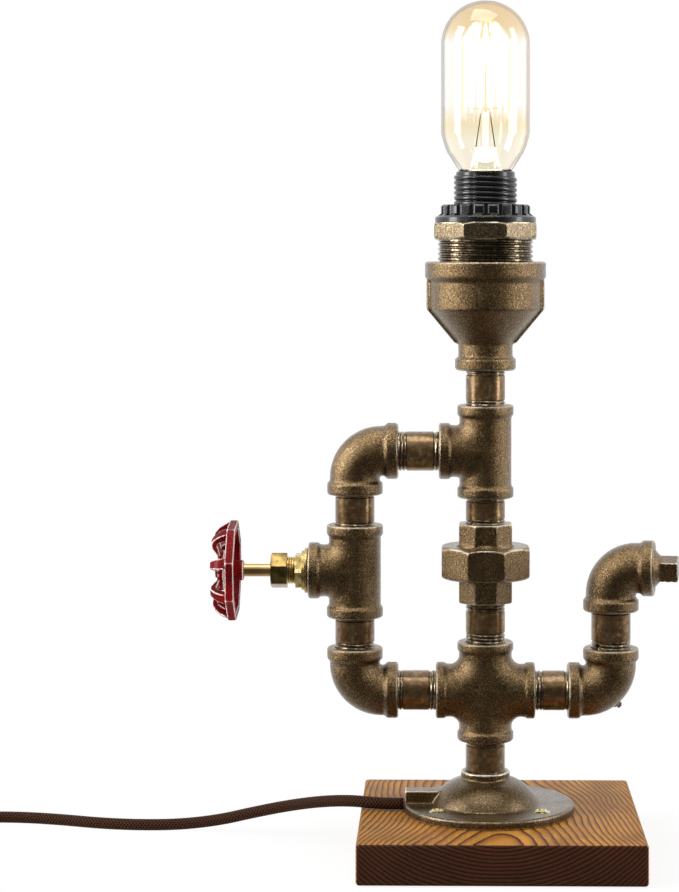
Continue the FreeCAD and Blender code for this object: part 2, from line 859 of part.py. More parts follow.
def bell_outline(extra):
    band_foot = of.bell_height - of.bell_band_high
    return [
        (0, 0), (of.bell_low_band / 2 - of.band_round, 0),
        (of.bell_low_band / 2, of.band_round, of.band_round),
        (of.bell_low_band / 2, of.bell_low_band_high - 1),
        (of.bell_neck / 2 + extra, of.bell_low_band_high + 0.6),
        (of.bell_neck / 2 + extra, of.bell_cone_foot),
        (of.bell_body / 2 + extra, of.bell_cone_top), (of.bell_body / 2 + extra, band_foot),
        (of.bell_band / 2, band_foot + 2), (of.bell_band / 2, of.bell_height - of.band_round),
        (of.bell_band / 2 - of.band_round, of.bell_height, of.band_round),
        (0, of.bell_height)]


def bell_reducer():
    rib_high = (of.bell_rib_across - of.bell_body) / 2
    shell = revolved("bell_shell", bell_outline(0))
    envelope = revolved("bell_rib_envelope", bell_outline(rib_high))
    wide = of.bell_rib_wide
    bar = block("bell_rib_bar", of.bell_rib_across, wide,
                of.bell_height - of.bell_band_high - of.bell_cone_foot,
                x=-of.bell_rib_across / 2, y=-wide / 2, z=of.bell_cone_foot)
    ribs = shared("bell_ribs", [envelope, bar])
    thread_foot = of.bell_height - of.bell_thread_deep
    bore = revolved("bell_bore", [
        (0, -1), (socket / 2, -1), (socket / 2, socket_deep), (of.waterway / 2, socket_deep),
        (of.waterway / 2, of.bell_cone_foot),
        (of.bell_body / 2 - of.bell_wall - 1, of.bell_cone_top),
        (of.bell_body / 2 - of.bell_wall - 1, thread_foot),
        (of.bush_thread / 2 + of.thread_slack, thread_foot),
        (of.bush_thread / 2 + of.thread_slack, of.bell_height + 1), (0, of.bell_height + 1)])
    outside = joined("bell_outside", [shell, ribs])
    place(keep(carved("bell_reducer", outside, bore), "bell_reducer"), z=bell_foot)


def bushing():
    # Local zero is the foot of the thread inside the reducer.
    head_foot = of.bush_grip + of.bush_show
    top = head_foot + of.bush_head_high
    shank = revolved("bushing_shank", [
        (0, 0), (of.bush_thread / 2 - 1, 0), (of.bush_thread / 2, 1),
        (of.bush_thread / 2, head_foot + 1), (0, head_foot + 1)])
    head = octagon("bushing_head", of.bush_flats, head_foot, top, of.bush_bevel,
                   turn=of.bush_turn.value + 22.5)
    bore = revolved("bushing_bore", [
        (0, -1), (of.bush_bore / 2, -1), (of.bush_bore / 2, top - of.bush_lip),
        (of.skirt_outer / 2 + of.thread_slack * 2, top - of.bush_lip),
        (of.skirt_outer / 2 + of.thread_slack * 2, top + 1), (0, top + 1)])
    outside = joined("bushing_outside", [shank, head])
    place(keep(carved("bushing", outside, bore), "bushing"), z=bell_top - of.bush_grip)


bell_reducer()
bushing()


# ---- lamp holder -----------------------------------------------------------------

shoulder = bush_top - of.bush_lip
holder_foot = shoulder - of.holder_deep
cap_top = rim - of.cap_below_rim
cap_foot = cap_top - of.cap_high
tip_foot = cap_foot - of.cone_high - of.tip_high


def lampholder():
    # Local zero is the foot of the moulded body.
    shoulder_at = of.holder_deep - of.shoulder_slack
    top = of.holder_deep + of.bush_lip + of.skirt_high
    floor = tip_foot - holder_foot - of.tip_gap - of.tongue_thick * 3
    turned("lampholder_body", [
        (0, 0), (of.holder_foot / 2, 0), (of.holder_foot / 2, of.holder_foot_high),
        (of.holder_body / 2, of.holder_foot_high + 4), (of.holder_body / 2, shoulder_at),
        (of.skirt_outer / 2, shoulder_at), (of.skirt_outer / 2, top),
        (of.skirt_bore / 2, top), (of.skirt_bore / 2, floor), (0, floor)], z=holder_foot)
    wall = of.shell_wall
    outer = of.skirt_bore - of.thread_slack * 2
    shell_foot = floor + 1.5
    turned("lampholder_shell", [
        (of.shell_bore / 2, shell_foot), (of.shell_bore / 2 + wall, shell_foot),
        (of.shell_bore / 2 + wall, shell_foot + of.shell_high - wall),
        (outer / 2, shell_foot + of.shell_high - wall), (outer / 2, shell_foot + of.shell_high),
        (of.shell_bore / 2, shell_foot + of.shell_high)], z=holder_foot)
    turned("lampholder_liner", tube_outline(
        outer, of.shell_bore + wall * 2 + of.thread_slack * 2, floor + 0.2,
        shell_foot + of.shell_high - wall - 0.1), z=holder_foot)
    thick = of.tongue_thick
    long = of.skirt_bore / 2
    tongue = joined("tongue_strip", [
        block("tongue_foot", long, of.tongue_wide, thick, x=-long + 3, y=-of.tongue_wide / 2,
              z=floor),
        block("tongue_post", thick, of.tongue_wide, thick * 3, x=-thick, y=-of.tongue_wide / 2,
              z=floor),
        block("tongue_pad", of.tongue_wide, of.tongue_wide, thick, x=-of.tongue_wide / 2,
              y=-of.tongue_wide / 2, z=floor + thick * 2)])
    place(keep(tongue, "lampholder_contact"), z=holder_foot)
    posts = doc.addObject("Part::Compound", "lampholder_terminals")
    posts.Links = [
        block(f"terminal_{side}", of.terminal_wide, of.terminal_wide, of.terminal_high,
              x=-of.terminal_wide / 2, y=of.terminal_apart / 2 * sign - of.terminal_wide / 2,
              z=-of.terminal_high)
        for side, sign in (("front", -1), ("back", 1))]
    place(keep(posts, "lampholder_terminals"), z=holder_foot)


def holder_ring():
    body = new_body("lampholder_ring")
    bore = of.skirt_outer / 2 + of.thread_slack
    turn_in(body, "ring_turning", [
        (bore, 0), (of.ring_foot / 2, 0), (of.ring_foot / 2, of.ring_foot_high),
        (of.ring_outer / 2, of.ring_foot_high + 2.2), (of.ring_outer / 2, of.ring_high - 1),
        (of.ring_outer / 2 - 1, of.ring_high), (bore, of.ring_high)])
    flute = body_sketch(body, "flute_circle", "XY_Plane", of.ring_foot_high + 1)
    draw_circles(flute, [(of.ring_outer / 2 + of.flute_wide * 0.2, 0)], of.flute_wide)
    cut = pocket_in(body, "flute", flute, of.ring_high)
    ring_of(body, "flutes", cut, of.ring_flutes, "N_Axis")
    place(body, z=bush_top)


lampholder()
holder_ring()


# ---- bulb --------------------------------------------------------------------------

def glass_outline(inset):
    # The bulb's profile from its neck up, drawn inset by the wall for the hollow.
    side = of.glass_outer / 2 - inset
    neck = of.glass_neck / 2 - inset
    shoulder = of.glass_knee / 2 - inset
    crown = of.glass_height - inset
    dome_foot = of.glass_height - of.glass_dome
    return [
        (0, inset), (neck, inset), (neck + 1.6, inset + 1.2), (neck + 2.1, inset + 2.2),
        (shoulder, of.glass_knee_high), (side, of.glass_taper, of.glass_bend),
        (side, dome_foot), (0, crown, cap_radius(side, of.glass_dome - inset))]


def bulb():
    wall = of.cap_wall
    turned("bulb_cap", [
        (of.cone_foot / 2 + 1.2, 0), (of.cap_outer / 2 - 1, 0), (of.cap_outer / 2, 1.5),
        (of.cap_outer / 2, of.cap_high), (of.cap_outer / 2 - wall, of.cap_high),
        (of.cap_outer / 2 - wall, 1.5 + wall), (of.cone_foot / 2 + 1.2, wall)], z=cap_foot)
    turned("bulb_insulator", [
        (0, 0), (of.cone_foot / 2, 0), (of.cap_outer / 2 - 1.4, of.cone_high), (0, of.cone_high)],
        z=cap_foot - of.cone_high)
    turned("bulb_contact", [
        (0, 0), (of.cone_foot / 2 - 2.4, 0), (of.cone_foot / 2 - 1.6, of.tip_high * 0.6),
        (of.cone_foot / 2 - 1.6, of.tip_high), (0, of.tip_high)], z=tip_foot)
    outside = revolved("bulb_outside", glass_outline(Size(0)))
    hollow = revolved("bulb_hollow", glass_outline(of.glass_wall))
    glass = keep(carved("bulb_glass", outside, hollow), "bulb_glass")
    place(glass, z=cap_top)
    foot = cap_top + of.glass_wall + of.thread_slack
    turned("bulb_stem", [
        (0, 0), (of.stem_foot / 2, 0), (of.stem_foot / 2, 1),
        (of.stem_press / 2, of.press_top - 4), (of.stem_press / 2, of.press_top),
        (of.stem_rod / 2, of.press_top), (of.stem_rod / 2, of.stem_high), (0, of.stem_high)],
        z=foot)


def feature_of(label, shape):
    item = doc.addObject("Part::Feature", label)
    item.Shape = shape
    return keep(item, label)


def bulb_mount():
    # Spokes from a mast hold the filament, which runs up and down round the cage.
    foot = cap_top + of.glass_wall + of.thread_slack
    low, high = cap_top + of.cage_low, cap_top + of.cage_high
    cage, count = of.cage_wide / 2, int(of.cage_strands.value)
    half_step = math.pi / count
    strand, wire = of.strand_thick, of.support_thick

    runs = []
    for number in range(count):
        angle = 2 * half_step * number
        runs.append(rod(f"strand_{number + 1}", strand, high - low,
                        x=cage * math.cos(angle), y=cage * math.sin(angle), z=low))
        level = high if number % 2 else low
        link = rod(f"strand_link_{number + 1}", strand, cage * (2 * math.sin(half_step)))
        bearing = Rotation(Vector(0, 0, 1), math.degrees(angle + half_step) + 90)
        runs.append(place(link, x=cage * math.cos(angle), y=cage * math.sin(angle), z=level,
                          rotation=bearing * towards["right"]))
    keep(joined("bulb_filament", runs), "bulb_filament")

    mast_foot = foot + of.stem_high + 0.05
    wires = [rod("support_mast", wire * 1.5, high - mast_foot + 1, z=mast_foot)]
    spoke = cage * math.cos(half_step) - strand / 2 - 0.05
    for number in range(count):
        bearing = Rotation(Vector(0, 0, 1), math.degrees((2 * number + 1) * half_step))
        wires.append(rod(f"spoke_{number + 1}", wire, spoke, z=high if number % 2 else low,
                         rotation=bearing * towards["right"]))
    lead_foot = foot + of.press_top + 0.08
    rise, lean = low - lead_foot, of.lead_foot_out - of.lead_top_out
    slope = math.degrees(math.atan2(lean.value, rise.value))
    for side, sign in (("left", -1), ("right", 1)):
        wires.append(rod(f"mount_lead_{side}", wire, rise / math.cos(math.radians(slope)),
                         x=of.lead_foot_out * sign, z=lead_foot,
                         rotation=Rotation(Vector(0, 1, 0), -slope * sign)))
    keep(joined("bulb_supports", wires), "bulb_supports")


bulb()
bulb_mount()


# ---- valve, switch and handwheel ------------------------------------------------------
# Local +Z runs outwards along the valve's axis, from the left tee's end.

valve_start = left_x - of.tee_reach
valve_where = {"x": valve_start, "z": left_tee_mid, "rotation": towards["left"]}
bonnet_hex_foot = of.bonnet_gap + of.bonnet_flange_high + of.bonnet_collar_high
bonnet_hex_top = bonnet_hex_foot + of.bonnet_hex_high
packing_foot = bonnet_hex_top + of.bonnet_neck_show
packing_top = packing_foot + of.packing_high
neck_top = packing_top - of.packing_lip - 0.2
hub_foot = packing_top + of.stem_show
switch_face = valve_start + of.thread_grip + of.switch_long
wheel_disc_front = of.wheel_thick - of.wheel_dip - of.wheel_nut_high
wheel_turn = towards["left"] * Rotation(Vector(0, 0, 1), of.finger_phase.value)


def valve():
    steps = revolved("bonnet_steps", [
        (0, -of.thread_grip), (of.pipe_outer / 2, -of.thread_grip), (of.pipe_outer / 2, 0),
        (of.pipe_outer / 2 - 0.6, of.bonnet_gap), (of.bonnet_flange / 2, of.bonnet_gap),
        (of.bonnet_flange / 2, of.bonnet_gap + of.bonnet_flange_high),
        (of.bonnet_collar / 2, of.bonnet_gap + of.bonnet_flange_high),
        (of.bonnet_collar / 2, bonnet_hex_foot), (of.bonnet_neck / 2, bonnet_hex_foot),
        (of.bonnet_neck / 2, neck_top), (0, neck_top)])
    hexagon = prism("bonnet_hexagon", 6, hexagon_ratio, of.bonnet_hex, of.bonnet_hex_high,
                    z=bonnet_hex_foot, rotation=Rotation(Vector(0, 0, 1), of.bonnet_turn.value))
    way = of.stem_outer / 2 + of.stem_slack
    ring_foot = neck_top - of.packing_ring_high
    bore = revolved("bonnet_bore", [
        (0, -of.thread_grip - 1), (way, -of.thread_grip - 1), (way, ring_foot),
        (of.packing_bore / 2, ring_foot), (of.packing_bore / 2, neck_top + 1),
        (0, neck_top + 1)])
    outside = joined("bonnet_outside", [steps, hexagon])
    place(keep(carved("valve_bonnet", outside, bore), "valve_bonnet"), **valve_where)

    turned("packing_ring", tube_outline(of.packing_bore - of.thread_slack * 2, way * 2,
                                        ring_foot + 0.05, neck_top), **valve_where)

    corner = of.packing_hex / 2 * hexagon_ratio
    bar = prism("packing_hexagon", 6, hexagon_ratio, of.packing_hex, of.packing_high,
                z=packing_foot, rotation=Rotation(Vector(0, 0, 1), of.packing_turn.value))
    bevel = revolved("packing_bevel", [
        (0, packing_foot), (corner + 0.1, packing_foot), (corner + 0.1, packing_top - 0.8),
        (corner - 1.2, packing_top), (0, packing_top)])
    nut_bore = revolved("packing_nut_bore", [
        (0, packing_foot - 1), (of.bonnet_neck / 2 + of.thread_slack, packing_foot - 1),
        (of.bonnet_neck / 2 + of.thread_slack, packing_top - of.packing_lip),
        (way, packing_top - of.packing_lip), (way, packing_top + 1), (0, packing_top + 1)])
    nut = carved("packing_nut", shared("packing_outside", [bar, bevel]), nut_bore)
    place(keep(nut, "packing_nut"), **valve_where)

    drive_floor = of.switch_long - of.switch_drive
    turned("dimmer_switch", [
        (0, 0), (of.switch_outer / 2, 0), (of.switch_outer / 2, of.switch_long),
        (way, of.switch_long), (way, drive_floor), (0, drive_floor)],
        x=switch_face, z=left_tee_mid, rotation=towards["left"])


def valve_stem():
    inner = -of.thread_grip - of.switch_drive + 0.3
    square_foot = hub_foot + wheel_disc_front - of.stem_square_high
    shaft = revolved("stem_shaft", [
        (0, inner), (of.stem_outer / 2, inner), (of.stem_outer / 2, square_foot),
        (0, square_foot)])
    end = hub_foot + wheel_disc_front + 0.6
    half = of.stem_square / 2
    square = block("stem_square_end", of.stem_square, of.stem_square, end - square_foot,
                   x=-half, y=-half, z=square_foot)
    stem = keep(joined("valve_stem", [shaft, square]), "valve_stem")
    place(stem, x=valve_start, z=left_tee_mid, rotation=wheel_turn)


def handwheel():
    # Local zero is the hub's back; the fingers run from the front disc to the ring.
    body = new_body("handwheel")
    front, thick = of.wheel_thick, of.finger_thick
    ring_in, ring_out = of.wheel_ring_inner / 2, of.wheel_outer / 2
    shoulder_at = of.finger_shoulder / 2
    narrow, broad = of.finger_wide / 2, of.finger_foot_wide / 2
    disc_front = wheel_disc_front
    disc_back = disc_front - of.wheel_disc_thick
    foot = of.wheel_ring_high - 0.8
    count = int(of.finger_count.value)
    flat_share = math.cos(math.pi / count)
    inner_flat = ring_in * flat_share

    plan = body_sketch(body, "finger_plan", "XY_Plane", foot)
    draw_outline(plan, [
        (0, -narrow), (shoulder_at, -narrow), (ring_out, -broad),
        (ring_out, broad), (shoulder_at, narrow), (0, narrow)])
    pad = pad_in(body, "finger", plan, front - foot + 1)
    ring_of(body, "fingers", pad, of.finger_count, "N_Axis")
    # Two turned cuts give all the fingers their curved backs and fronts.
    turn_in(body, "finger_backs", [
        (0, foot - 1), (inner_flat, foot - 1), (inner_flat, foot),
        (shoulder_at, front - thick, of.finger_bend), (0, disc_back)], cut=True)
    turn_in(body, "finger_fronts", [
        (0, disc_front), (of.wheel_disc / 2, disc_front), (shoulder_at - 2, front),
        (shoulder_at + 1, front), (ring_out - 1.2, foot, -(of.finger_bend + thick)),
        (ring_out + 2, foot), (ring_out + 2, front + 2), (0, front + 2)], cut=True)

    rim = body_sketch(body, "ring_plan", "XY_Plane", of.wheel_ring_low)
    turns = [2 * math.pi * corner / count for corner in range(count)]
    for radius in (ring_out, ring_in):
        draw_outline(rim, [(radius * round(math.cos(turn), 9), radius * round(math.sin(turn), 9))
                           for turn in turns])
    pad_in(body, "ring", rim, of.wheel_ring_high - of.wheel_ring_low)
    turn_in(body, "hub", [
        (0, 0), (of.wheel_hub / 2, 0), (of.wheel_hub / 2, disc_back - 2.5),
        (of.wheel_hub / 2 + 2.5, disc_back), (of.wheel_disc / 2, disc_back),
        (of.wheel_disc / 2, disc_front - 0.8), (of.wheel_disc / 2 - 0.8, disc_front),
        (0, disc_front)])
    way = of.stem_outer / 2 + of.stem_slack
    square_foot = disc_front - of.stem_square_high
    turn_in(body, "stem_way", [(0, 0), (way, 0), (way, square_foot + 0.1),
                               (0, square_foot + 0.1)], cut=True)
    square = body_sketch(body, "square_plan", "XY_Plane", square_foot)
    half = of.stem_square / 2 + of.thread_slack
    draw_outline(square, rectangle(-half, half, -half, half))
    pocket_in(body, "square_way", square, front)
    place(body, x=valve_start - hub_foot, z=left_tee_mid, rotation=wheel_turn)

    nut = prism("wheel_nut_bar", 6, hexagon_ratio, of.wheel_nut_flats, of.wheel_nut_high)
    half_hole = of.stem_square / 2 + of.thread_slack
    hole = block("wheel_nut_hole", half_hole * 2, half_hole * 2, of.wheel_nut_high * 0.55,
                 x=-half_hole, y=-half_hole)
    cap = keep(carved("handwheel_nut", nut, hole), "handwheel_nut")
    place(cap, x=valve_start - hub_foot - disc_front - 0.05, z=left_tee_mid,
          rotation=wheel_turn)


valve()
valve_stem()
handwheel()


# ---- wiring inside ---------------------------------------------------------------------

def rounded_path(points, radius=None):
    # Straight runs joined by tangent arcs; returns the wire, its length and its tightest bend.
    edges, radii = [], []
    start = points[0]
    for before, corner, after in zip(points, points[1:], points[2:]):
        back, ahead = before - corner, after - corner
        half_turn = (math.pi - back.getAngle(ahead)) / 2
        reach = bend_share * min(back.Length, ahead.Length)
        if radius:
            reach = min(reach, radius * math.tan(half_turn))
        bend = reach / math.tan(half_turn)
        back.normalize()
        ahead.normalize()
        middle = (back + ahead).normalize() * (bend / math.cos(half_turn) - bend)
        entry, leave = corner + back * reach, corner + ahead * reach
        edges.append(Part.LineSegment(start, entry).toShape())
        edges.append(Part.Arc(entry, corner + middle, leave).toShape())
        radii.append(bend)
        start = leave
    edges.append(Part.LineSegment(start, points[-1]).toShape())
    wire = Part.Wire(edges)
    return wire, wire.Length, min(radii) if radii else None


def swept(label, points, diameter, radius=None):
    wire, length, tightest = rounded_path(points, radius)
    direction = points[1] - points[0]
    profile = Part.Wire([Part.makeCircle(diameter / 2, points[0], direction)])
    solid = wire.makePipeShell([profile], True, False)
    expected = math.pi * diameter ** 2 / 4 * length
    print(f"{label}: length {length:.1f}, tightest bend {tightest or 0:.1f}, "
          f"volume {solid.Volume:.1f} of {expected:.1f}")
    return feature_of(label, solid), length


cord = of.cord_outer.value
cord_height = (base_top + of.cord_outer / 2 + of.cord_lift).value
mouth_x = (of.disc_shift - of.disc_outer / 2).value
tunnel_y = of.tunnel_place.value
splice_end = -(of.splice_long / 2).value - 2


def inner_wiring():
    half_apart = (of.lead_apart / 2).value
    splice = block("connector_block", of.splice_long, of.splice_wide, of.splice_high,
                   x=splice_end, y=-of.splice_wide / 2, z=base_top + 0.2)
    keep(splice, "connector_block")
    swept("cord_inner", [Vector(mouth_x, tunnel_y, cord_height),
                         Vector(splice_end, tunnel_y, cord_height)], cord)
    half = of.cord_outer / 2 + of.cord_lift - of.grommet_slack
    sleeve = block("grommet_block", of.grommet_long, half * 2, half * 2,
                   x=of.disc_shift - of.disc_outer / 2 + of.tunnel_inset + 1,
                   y=of.tunnel_place - half, z=base_top + of.grommet_slack)
    hole = rod("grommet_hole", of.cord_outer + 0.1, of.grommet_long + 4,
               x=of.disc_shift - of.disc_outer / 2 + of.tunnel_inset - 1, y=of.tunnel_place,
               z=Size(cord_height), rotation=towards["right"])
    keep(carved("cord_grommet", sleeve, hole), "cord_grommet")

    splice_top = base_top.value + 0.2 + of.splice_high.value
    bend = of.elbow_bend.value
    front, back = -half_apart, half_apart
    cross_z, tee_z, left = cross_mid.value, tee_mid.value, left_x.value
    switch_x = switch_face.value
    riser = left + of.lead_aside.value
    near_switch = left_tee_mid.value - 4
    lead = of.lead_outer.value
    swept("lead_base_switch", [
        Vector(0, front, splice_top), Vector(0, front, cross_z), Vector(left, front, cross_z),
        Vector(riser, front, cross_z + 28), Vector(riser, front, near_switch),
        Vector(switch_x, front, near_switch)], lead, bend)
    above_switch = left_tee_mid.value + 4
    terminal_z = (holder_foot - of.terminal_high).value
    fan_foot = (bell_foot + of.bell_cone_foot).value
    spread = (of.terminal_apart / 2).value
    swept("lead_switch_holder", [
        Vector(switch_x, front, above_switch), Vector(riser, front, above_switch),
        Vector(riser, front, tee_z - 28), Vector(left, front, tee_z), Vector(0, front, tee_z),
        Vector(0, front, fan_foot), Vector(0, -spread, terminal_z - 6),
        Vector(0, -spread, terminal_z)], lead, bend)
    swept("lead_base_holder", [
        Vector(0, back, splice_top), Vector(0, back, fan_foot),
        Vector(0, spread, terminal_z - 6), Vector(0, spread, terminal_z)], lead, bend)


inner_wiring()

# ---- cord -------------------------------------------------------------------------------

coil_x, coil_y = -321, 11
cord_route = [
    Vector(mouth_x, tunnel_y, cord_height),
    Vector(-57, tunnel_y, cord_height),
    Vector(-73, 3.5, cord_height + 0.6),
    Vector(-90, 15, 22.8),
    Vector(-108, 27.5, 17.6),
    Vector(-128, 35, 12),
    Vector(-148, 40.3, 6.2),
    Vector(-170, 42.3, cord / 2),
    Vector(-192, 40.6, cord / 2),
    Vector(-215, 44, cord / 2),
    Vector(-238, 52, cord / 2),
    Vector(-260, 57.2, cord / 2),
    Vector(-279, 57.9, cord / 2),
    Vector(-296, 57.2, cord / 2),
]
tail_route = [
    Vector(coil_x - 33.5, coil_y + 41, 9.6),
    Vector(coil_x - 47, coil_y + 34, 7.8),
    Vector(coil_x - 58.4, coil_y + 22.5, 6),
    Vector(coil_x - 65.8, coil_y + 8, 6.4),
    Vector(coil_x - 68.9, coil_y - 7.5, 9),
    Vector(coil_x - 68.9, coil_y - 23, 9),
]


def mains_plug(start):
    # Lies on the table and points towards -Y, with the cord entering its back.
    back = Rotation(Vector(1, 0, 0), 90)
    relief = revolved("relief_cone", [
        (0, 0), (of.cord_outer / 2 + 0.4, 0), (of.relief_wide / 2, of.relief_long),
        (0, of.relief_long)])
    place(keep(relief, "plug_relief"), x=start.x, y=start.y, z=start.z, rotation=back)
    body = new_body("plug_body")
    plan = body_sketch(body, "plug_plan", "XZ_Plane")
    wide, taper, long = of.mains_wide / 2, of.mains_taper, of.mains_body
    draw_outline(plan, [
        (-wide + taper, 0), (wide - taper, 0), (wide, long * 0.45), (wide, long - 2),
        (wide - 2, long), (-wide + 2, long), (-wide, long - 2), (-wide, long * 0.45)])
    pad_in(body, "plug_pad", plan, of.mains_high, midplane=True)
    place(body, x=start.x, y=start.y - of.relief_long, z=start.z, rotation=back)
    blades = doc.addObject("Part::Compound", "plug_blades")
    blades.Links = [
        block(f"blade_{side}", of.blade_thick, of.blade_wide, of.blade_long,
              x=of.blade_apart / 2 * sign - of.blade_thick / 2, y=-of.blade_wide / 2,
              z=of.mains_body)
        for side, sign in (("left", -1), ("right", 1))]
    place(keep(blades, "plug_blades"), x=start.x, y=start.y - of.relief_long, z=start.z,
          rotation=back)


run, run_length = swept("cord_tube", cord_route, cord)
tail, tail_length = swept("cord_tail", tail_route, cord)
coil = turned("cord_coil", tube_outline(of.coil_mean + of.coil_wide, of.coil_mean - of.coil_wide,
                                        Size(0), of.coil_high), x=coil_x, y=coil_y)
mains_plug(tail_route[-1])

# ---- check and export ---------------------------------------------------------------------

doc.recompute()
bad = [item.Name for item in doc.Objects if {"Invalid", "Error"} & set(item.State)]
if bad:
    raise RuntimeError(f"these objects failed: {bad}")
for piece in pieces:
    if piece.Shape.isNull() or not piece.Shape.isValid() or not piece.Shape.Solids:
        raise RuntimeError(f"{piece.Label} has no valid solid")

os.makedirs("parts", exist_ok=True)
for piece in pieces:
    piece.Shape.exportStep(os.path.join("parts", piece.Label + ".step"))
print(len(pieces), "pieces written")
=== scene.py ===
import math
from functools import partial

import bmesh
import bpy
import numpy as np
from mathutils import Matrix, Vector


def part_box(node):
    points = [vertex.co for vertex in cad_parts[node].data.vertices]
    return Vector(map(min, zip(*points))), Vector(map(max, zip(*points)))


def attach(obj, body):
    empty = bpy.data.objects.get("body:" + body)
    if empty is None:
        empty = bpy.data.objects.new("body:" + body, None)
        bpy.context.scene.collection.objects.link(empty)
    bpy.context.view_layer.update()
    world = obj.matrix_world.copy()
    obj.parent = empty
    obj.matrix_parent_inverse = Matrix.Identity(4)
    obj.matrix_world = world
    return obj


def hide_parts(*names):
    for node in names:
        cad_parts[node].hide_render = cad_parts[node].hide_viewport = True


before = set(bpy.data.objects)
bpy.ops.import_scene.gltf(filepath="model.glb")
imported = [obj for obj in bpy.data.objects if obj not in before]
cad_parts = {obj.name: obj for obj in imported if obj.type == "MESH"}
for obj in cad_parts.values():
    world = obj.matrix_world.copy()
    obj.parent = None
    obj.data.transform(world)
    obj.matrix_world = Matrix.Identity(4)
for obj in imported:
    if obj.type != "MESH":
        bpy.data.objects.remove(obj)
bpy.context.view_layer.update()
scene = bpy.context.scene
print("frame loaded")


# small helpers

def linear(hexColour):
    # sRGB hex to the linear colour that shaders use
    parts = [int(hexColour[at:at + 2], 16) / 255 for at in (1, 3, 5)]
    return [part / 12.92 if part <= 0.04045 else ((part + 0.055) / 1.055) ** 2.4
            for part in parts] + [1]


def addNode(tree, kind, inputs=(), operation=None, stops=(), **settings):
    # a kind without a family's name is a shader node; an input is a value, a socket, or a
    # node that stands for its own first output
    node = tree.nodes.new(kind if "Node" in kind else "ShaderNode" + kind)
    if operation:
        node.operation = operation
    for name, value in settings.items():
        setattr(node, name, value)
    for name, value in inputs.items() if isinstance(inputs, dict) else enumerate(inputs):
        if isinstance(value, bpy.types.Node):
            value = value.outputs[0]
        if isinstance(value, bpy.types.NodeSocket):
            tree.links.new(value, node.inputs[name])
        else:
            node.inputs[name].default_value = value
    if stops:
        ramp = node.color_ramp.elements
        while len(ramp) < len(stops):
            ramp.new(1)
        for element, (place, colour) in zip(ramp, stops):
            element.position = place
            element.color = linear(colour)
    return node


def emptied(owner):
    # a material or world without nodes, and what adds nodes to it
    owner.use_nodes = True
    owner.node_tree.nodes.clear()
    return owner, partial(addNode, owner.node_tree)


def newMaterial(name):
    # an empty material, what adds its nodes, and the object's own coordinates in it
    material, add = emptied(bpy.data.materials.new(name))
    return material, add, add("TexCoord").outputs["Object"]


def showSurface(material, shader):
    addNode(material.node_tree, "OutputMaterial", {"Surface": shader})
    return material


def reliefSurface(material, height, distance, strength, inputs, lifted=("Normal",)):
    # a Principled surface over a relief that the lifted normals follow
    add = partial(addNode, material.node_tree)
    relief = add("Bump", {"Height": height, "Distance": distance, "Strength": strength})
    return showSurface(material, add("BsdfPrincipled", {
        **inputs, **{normal: relief for normal in lifted}}))


def onlyMaterial(mesh, material):
    mesh.materials.clear()
    mesh.materials.append(material)


def newObject(name, data, material=None):
    piece = bpy.data.objects.new(name, data)
    scene.collection.objects.link(piece)
    if material:
        onlyMaterial(data, material)
    return piece


def evaluatedMesh(piece):
    graph = bpy.context.evaluated_depsgraph_get()
    graph.update()
    return bpy.data.meshes.new_from_object(piece.evaluated_get(graph))


def settle(piece, material=None):
    # the modifiers' result becomes the piece's own plain mesh
    made = evaluatedMesh(piece)
    piece.modifiers.clear()
    piece.data = made
    if material:
        onlyMaterial(made, material)


def smoothShade(mesh, angle=None):
    mesh.polygons.foreach_set("use_smooth", [True] * len(mesh.polygons))
    if angle:
        mesh.set_sharp_from_angle(angle=math.radians(angle))
    mesh.update()


def handOver(piece, angle, slot, *nodes, body="lamp"):
    # smooth up to an angle; then its body and the CAD nodes that it stands for, which are hidden;
    # its slot is not used
    smoothShade(piece.data, angle)
    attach(piece, body)
    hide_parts(*nodes)
    return piece


def meshOf(name, bm):
    mesh = bpy.data.meshes.new(name)
    bm.to_mesh(mesh)
    bm.free()
    return mesh


def finishMesh(name, bm):
    # doubles merged, faces outwards
    bmesh.ops.remove_doubles(bm, verts=bm.verts, dist=1e-7)
    bmesh.ops.recalc_face_normals(bm, faces=bm.faces)
    return meshOf(name, bm)


def copyOfCad(node, flatAngle=None):
    # a welded copy of a CAD node's mesh; flat faces are joined again where an angle is given
    bm = bmesh.new()
    bm.from_mesh(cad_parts[node].data)
    bmesh.ops.remove_doubles(bm, verts=bm.verts, dist=2e-6)
    if flatAngle:
        bmesh.ops.dissolve_limit(bm, angle_limit=math.radians(flatAngle), verts=bm.verts,
                                 edges=bm.edges)
    return meshOf(node + "Copy", bm)


def edgeSharpness(mesh, spacing):
    # how far each corner of an even mesh stands out over its neighbours, as a share of their
    # spacing, evened out twice
    count = len(mesh.vertices)
    places, normals = np.empty(count * 3), np.empty(count * 3)
    ends = np.empty(len(mesh.edges) * 2, dtype=np.int32)
    mesh.vertices.foreach_get("co", places)
    mesh.vertices.foreach_get("normal", normals)
    mesh.edges.foreach_get("vertices", ends)
    places, normals = places.reshape(-1, 3), normals.reshape(-1, 3)
    first, second = ends[0::2], ends[1::2]
    links = np.bincount(first, minlength=count) + np.bincount(second, minlength=count)

    def around(values):
        return (np.bincount(first, values[second], count)
                + np.bincount(second, values[first], count)) / links

    middle = np.stack([around(places[:, axis]) for axis in range(3)], axis=1)
    stand = ((places - middle) * normals).sum(axis=1) / spacing
    for _ in range(2):
        stand = (stand + around(stand)) / 2
    return np.clip(stand, 0, 1).astype(np.float32)


def turnsOf(sides):
    return [2 * math.pi * side / sides for side in range(sides)]


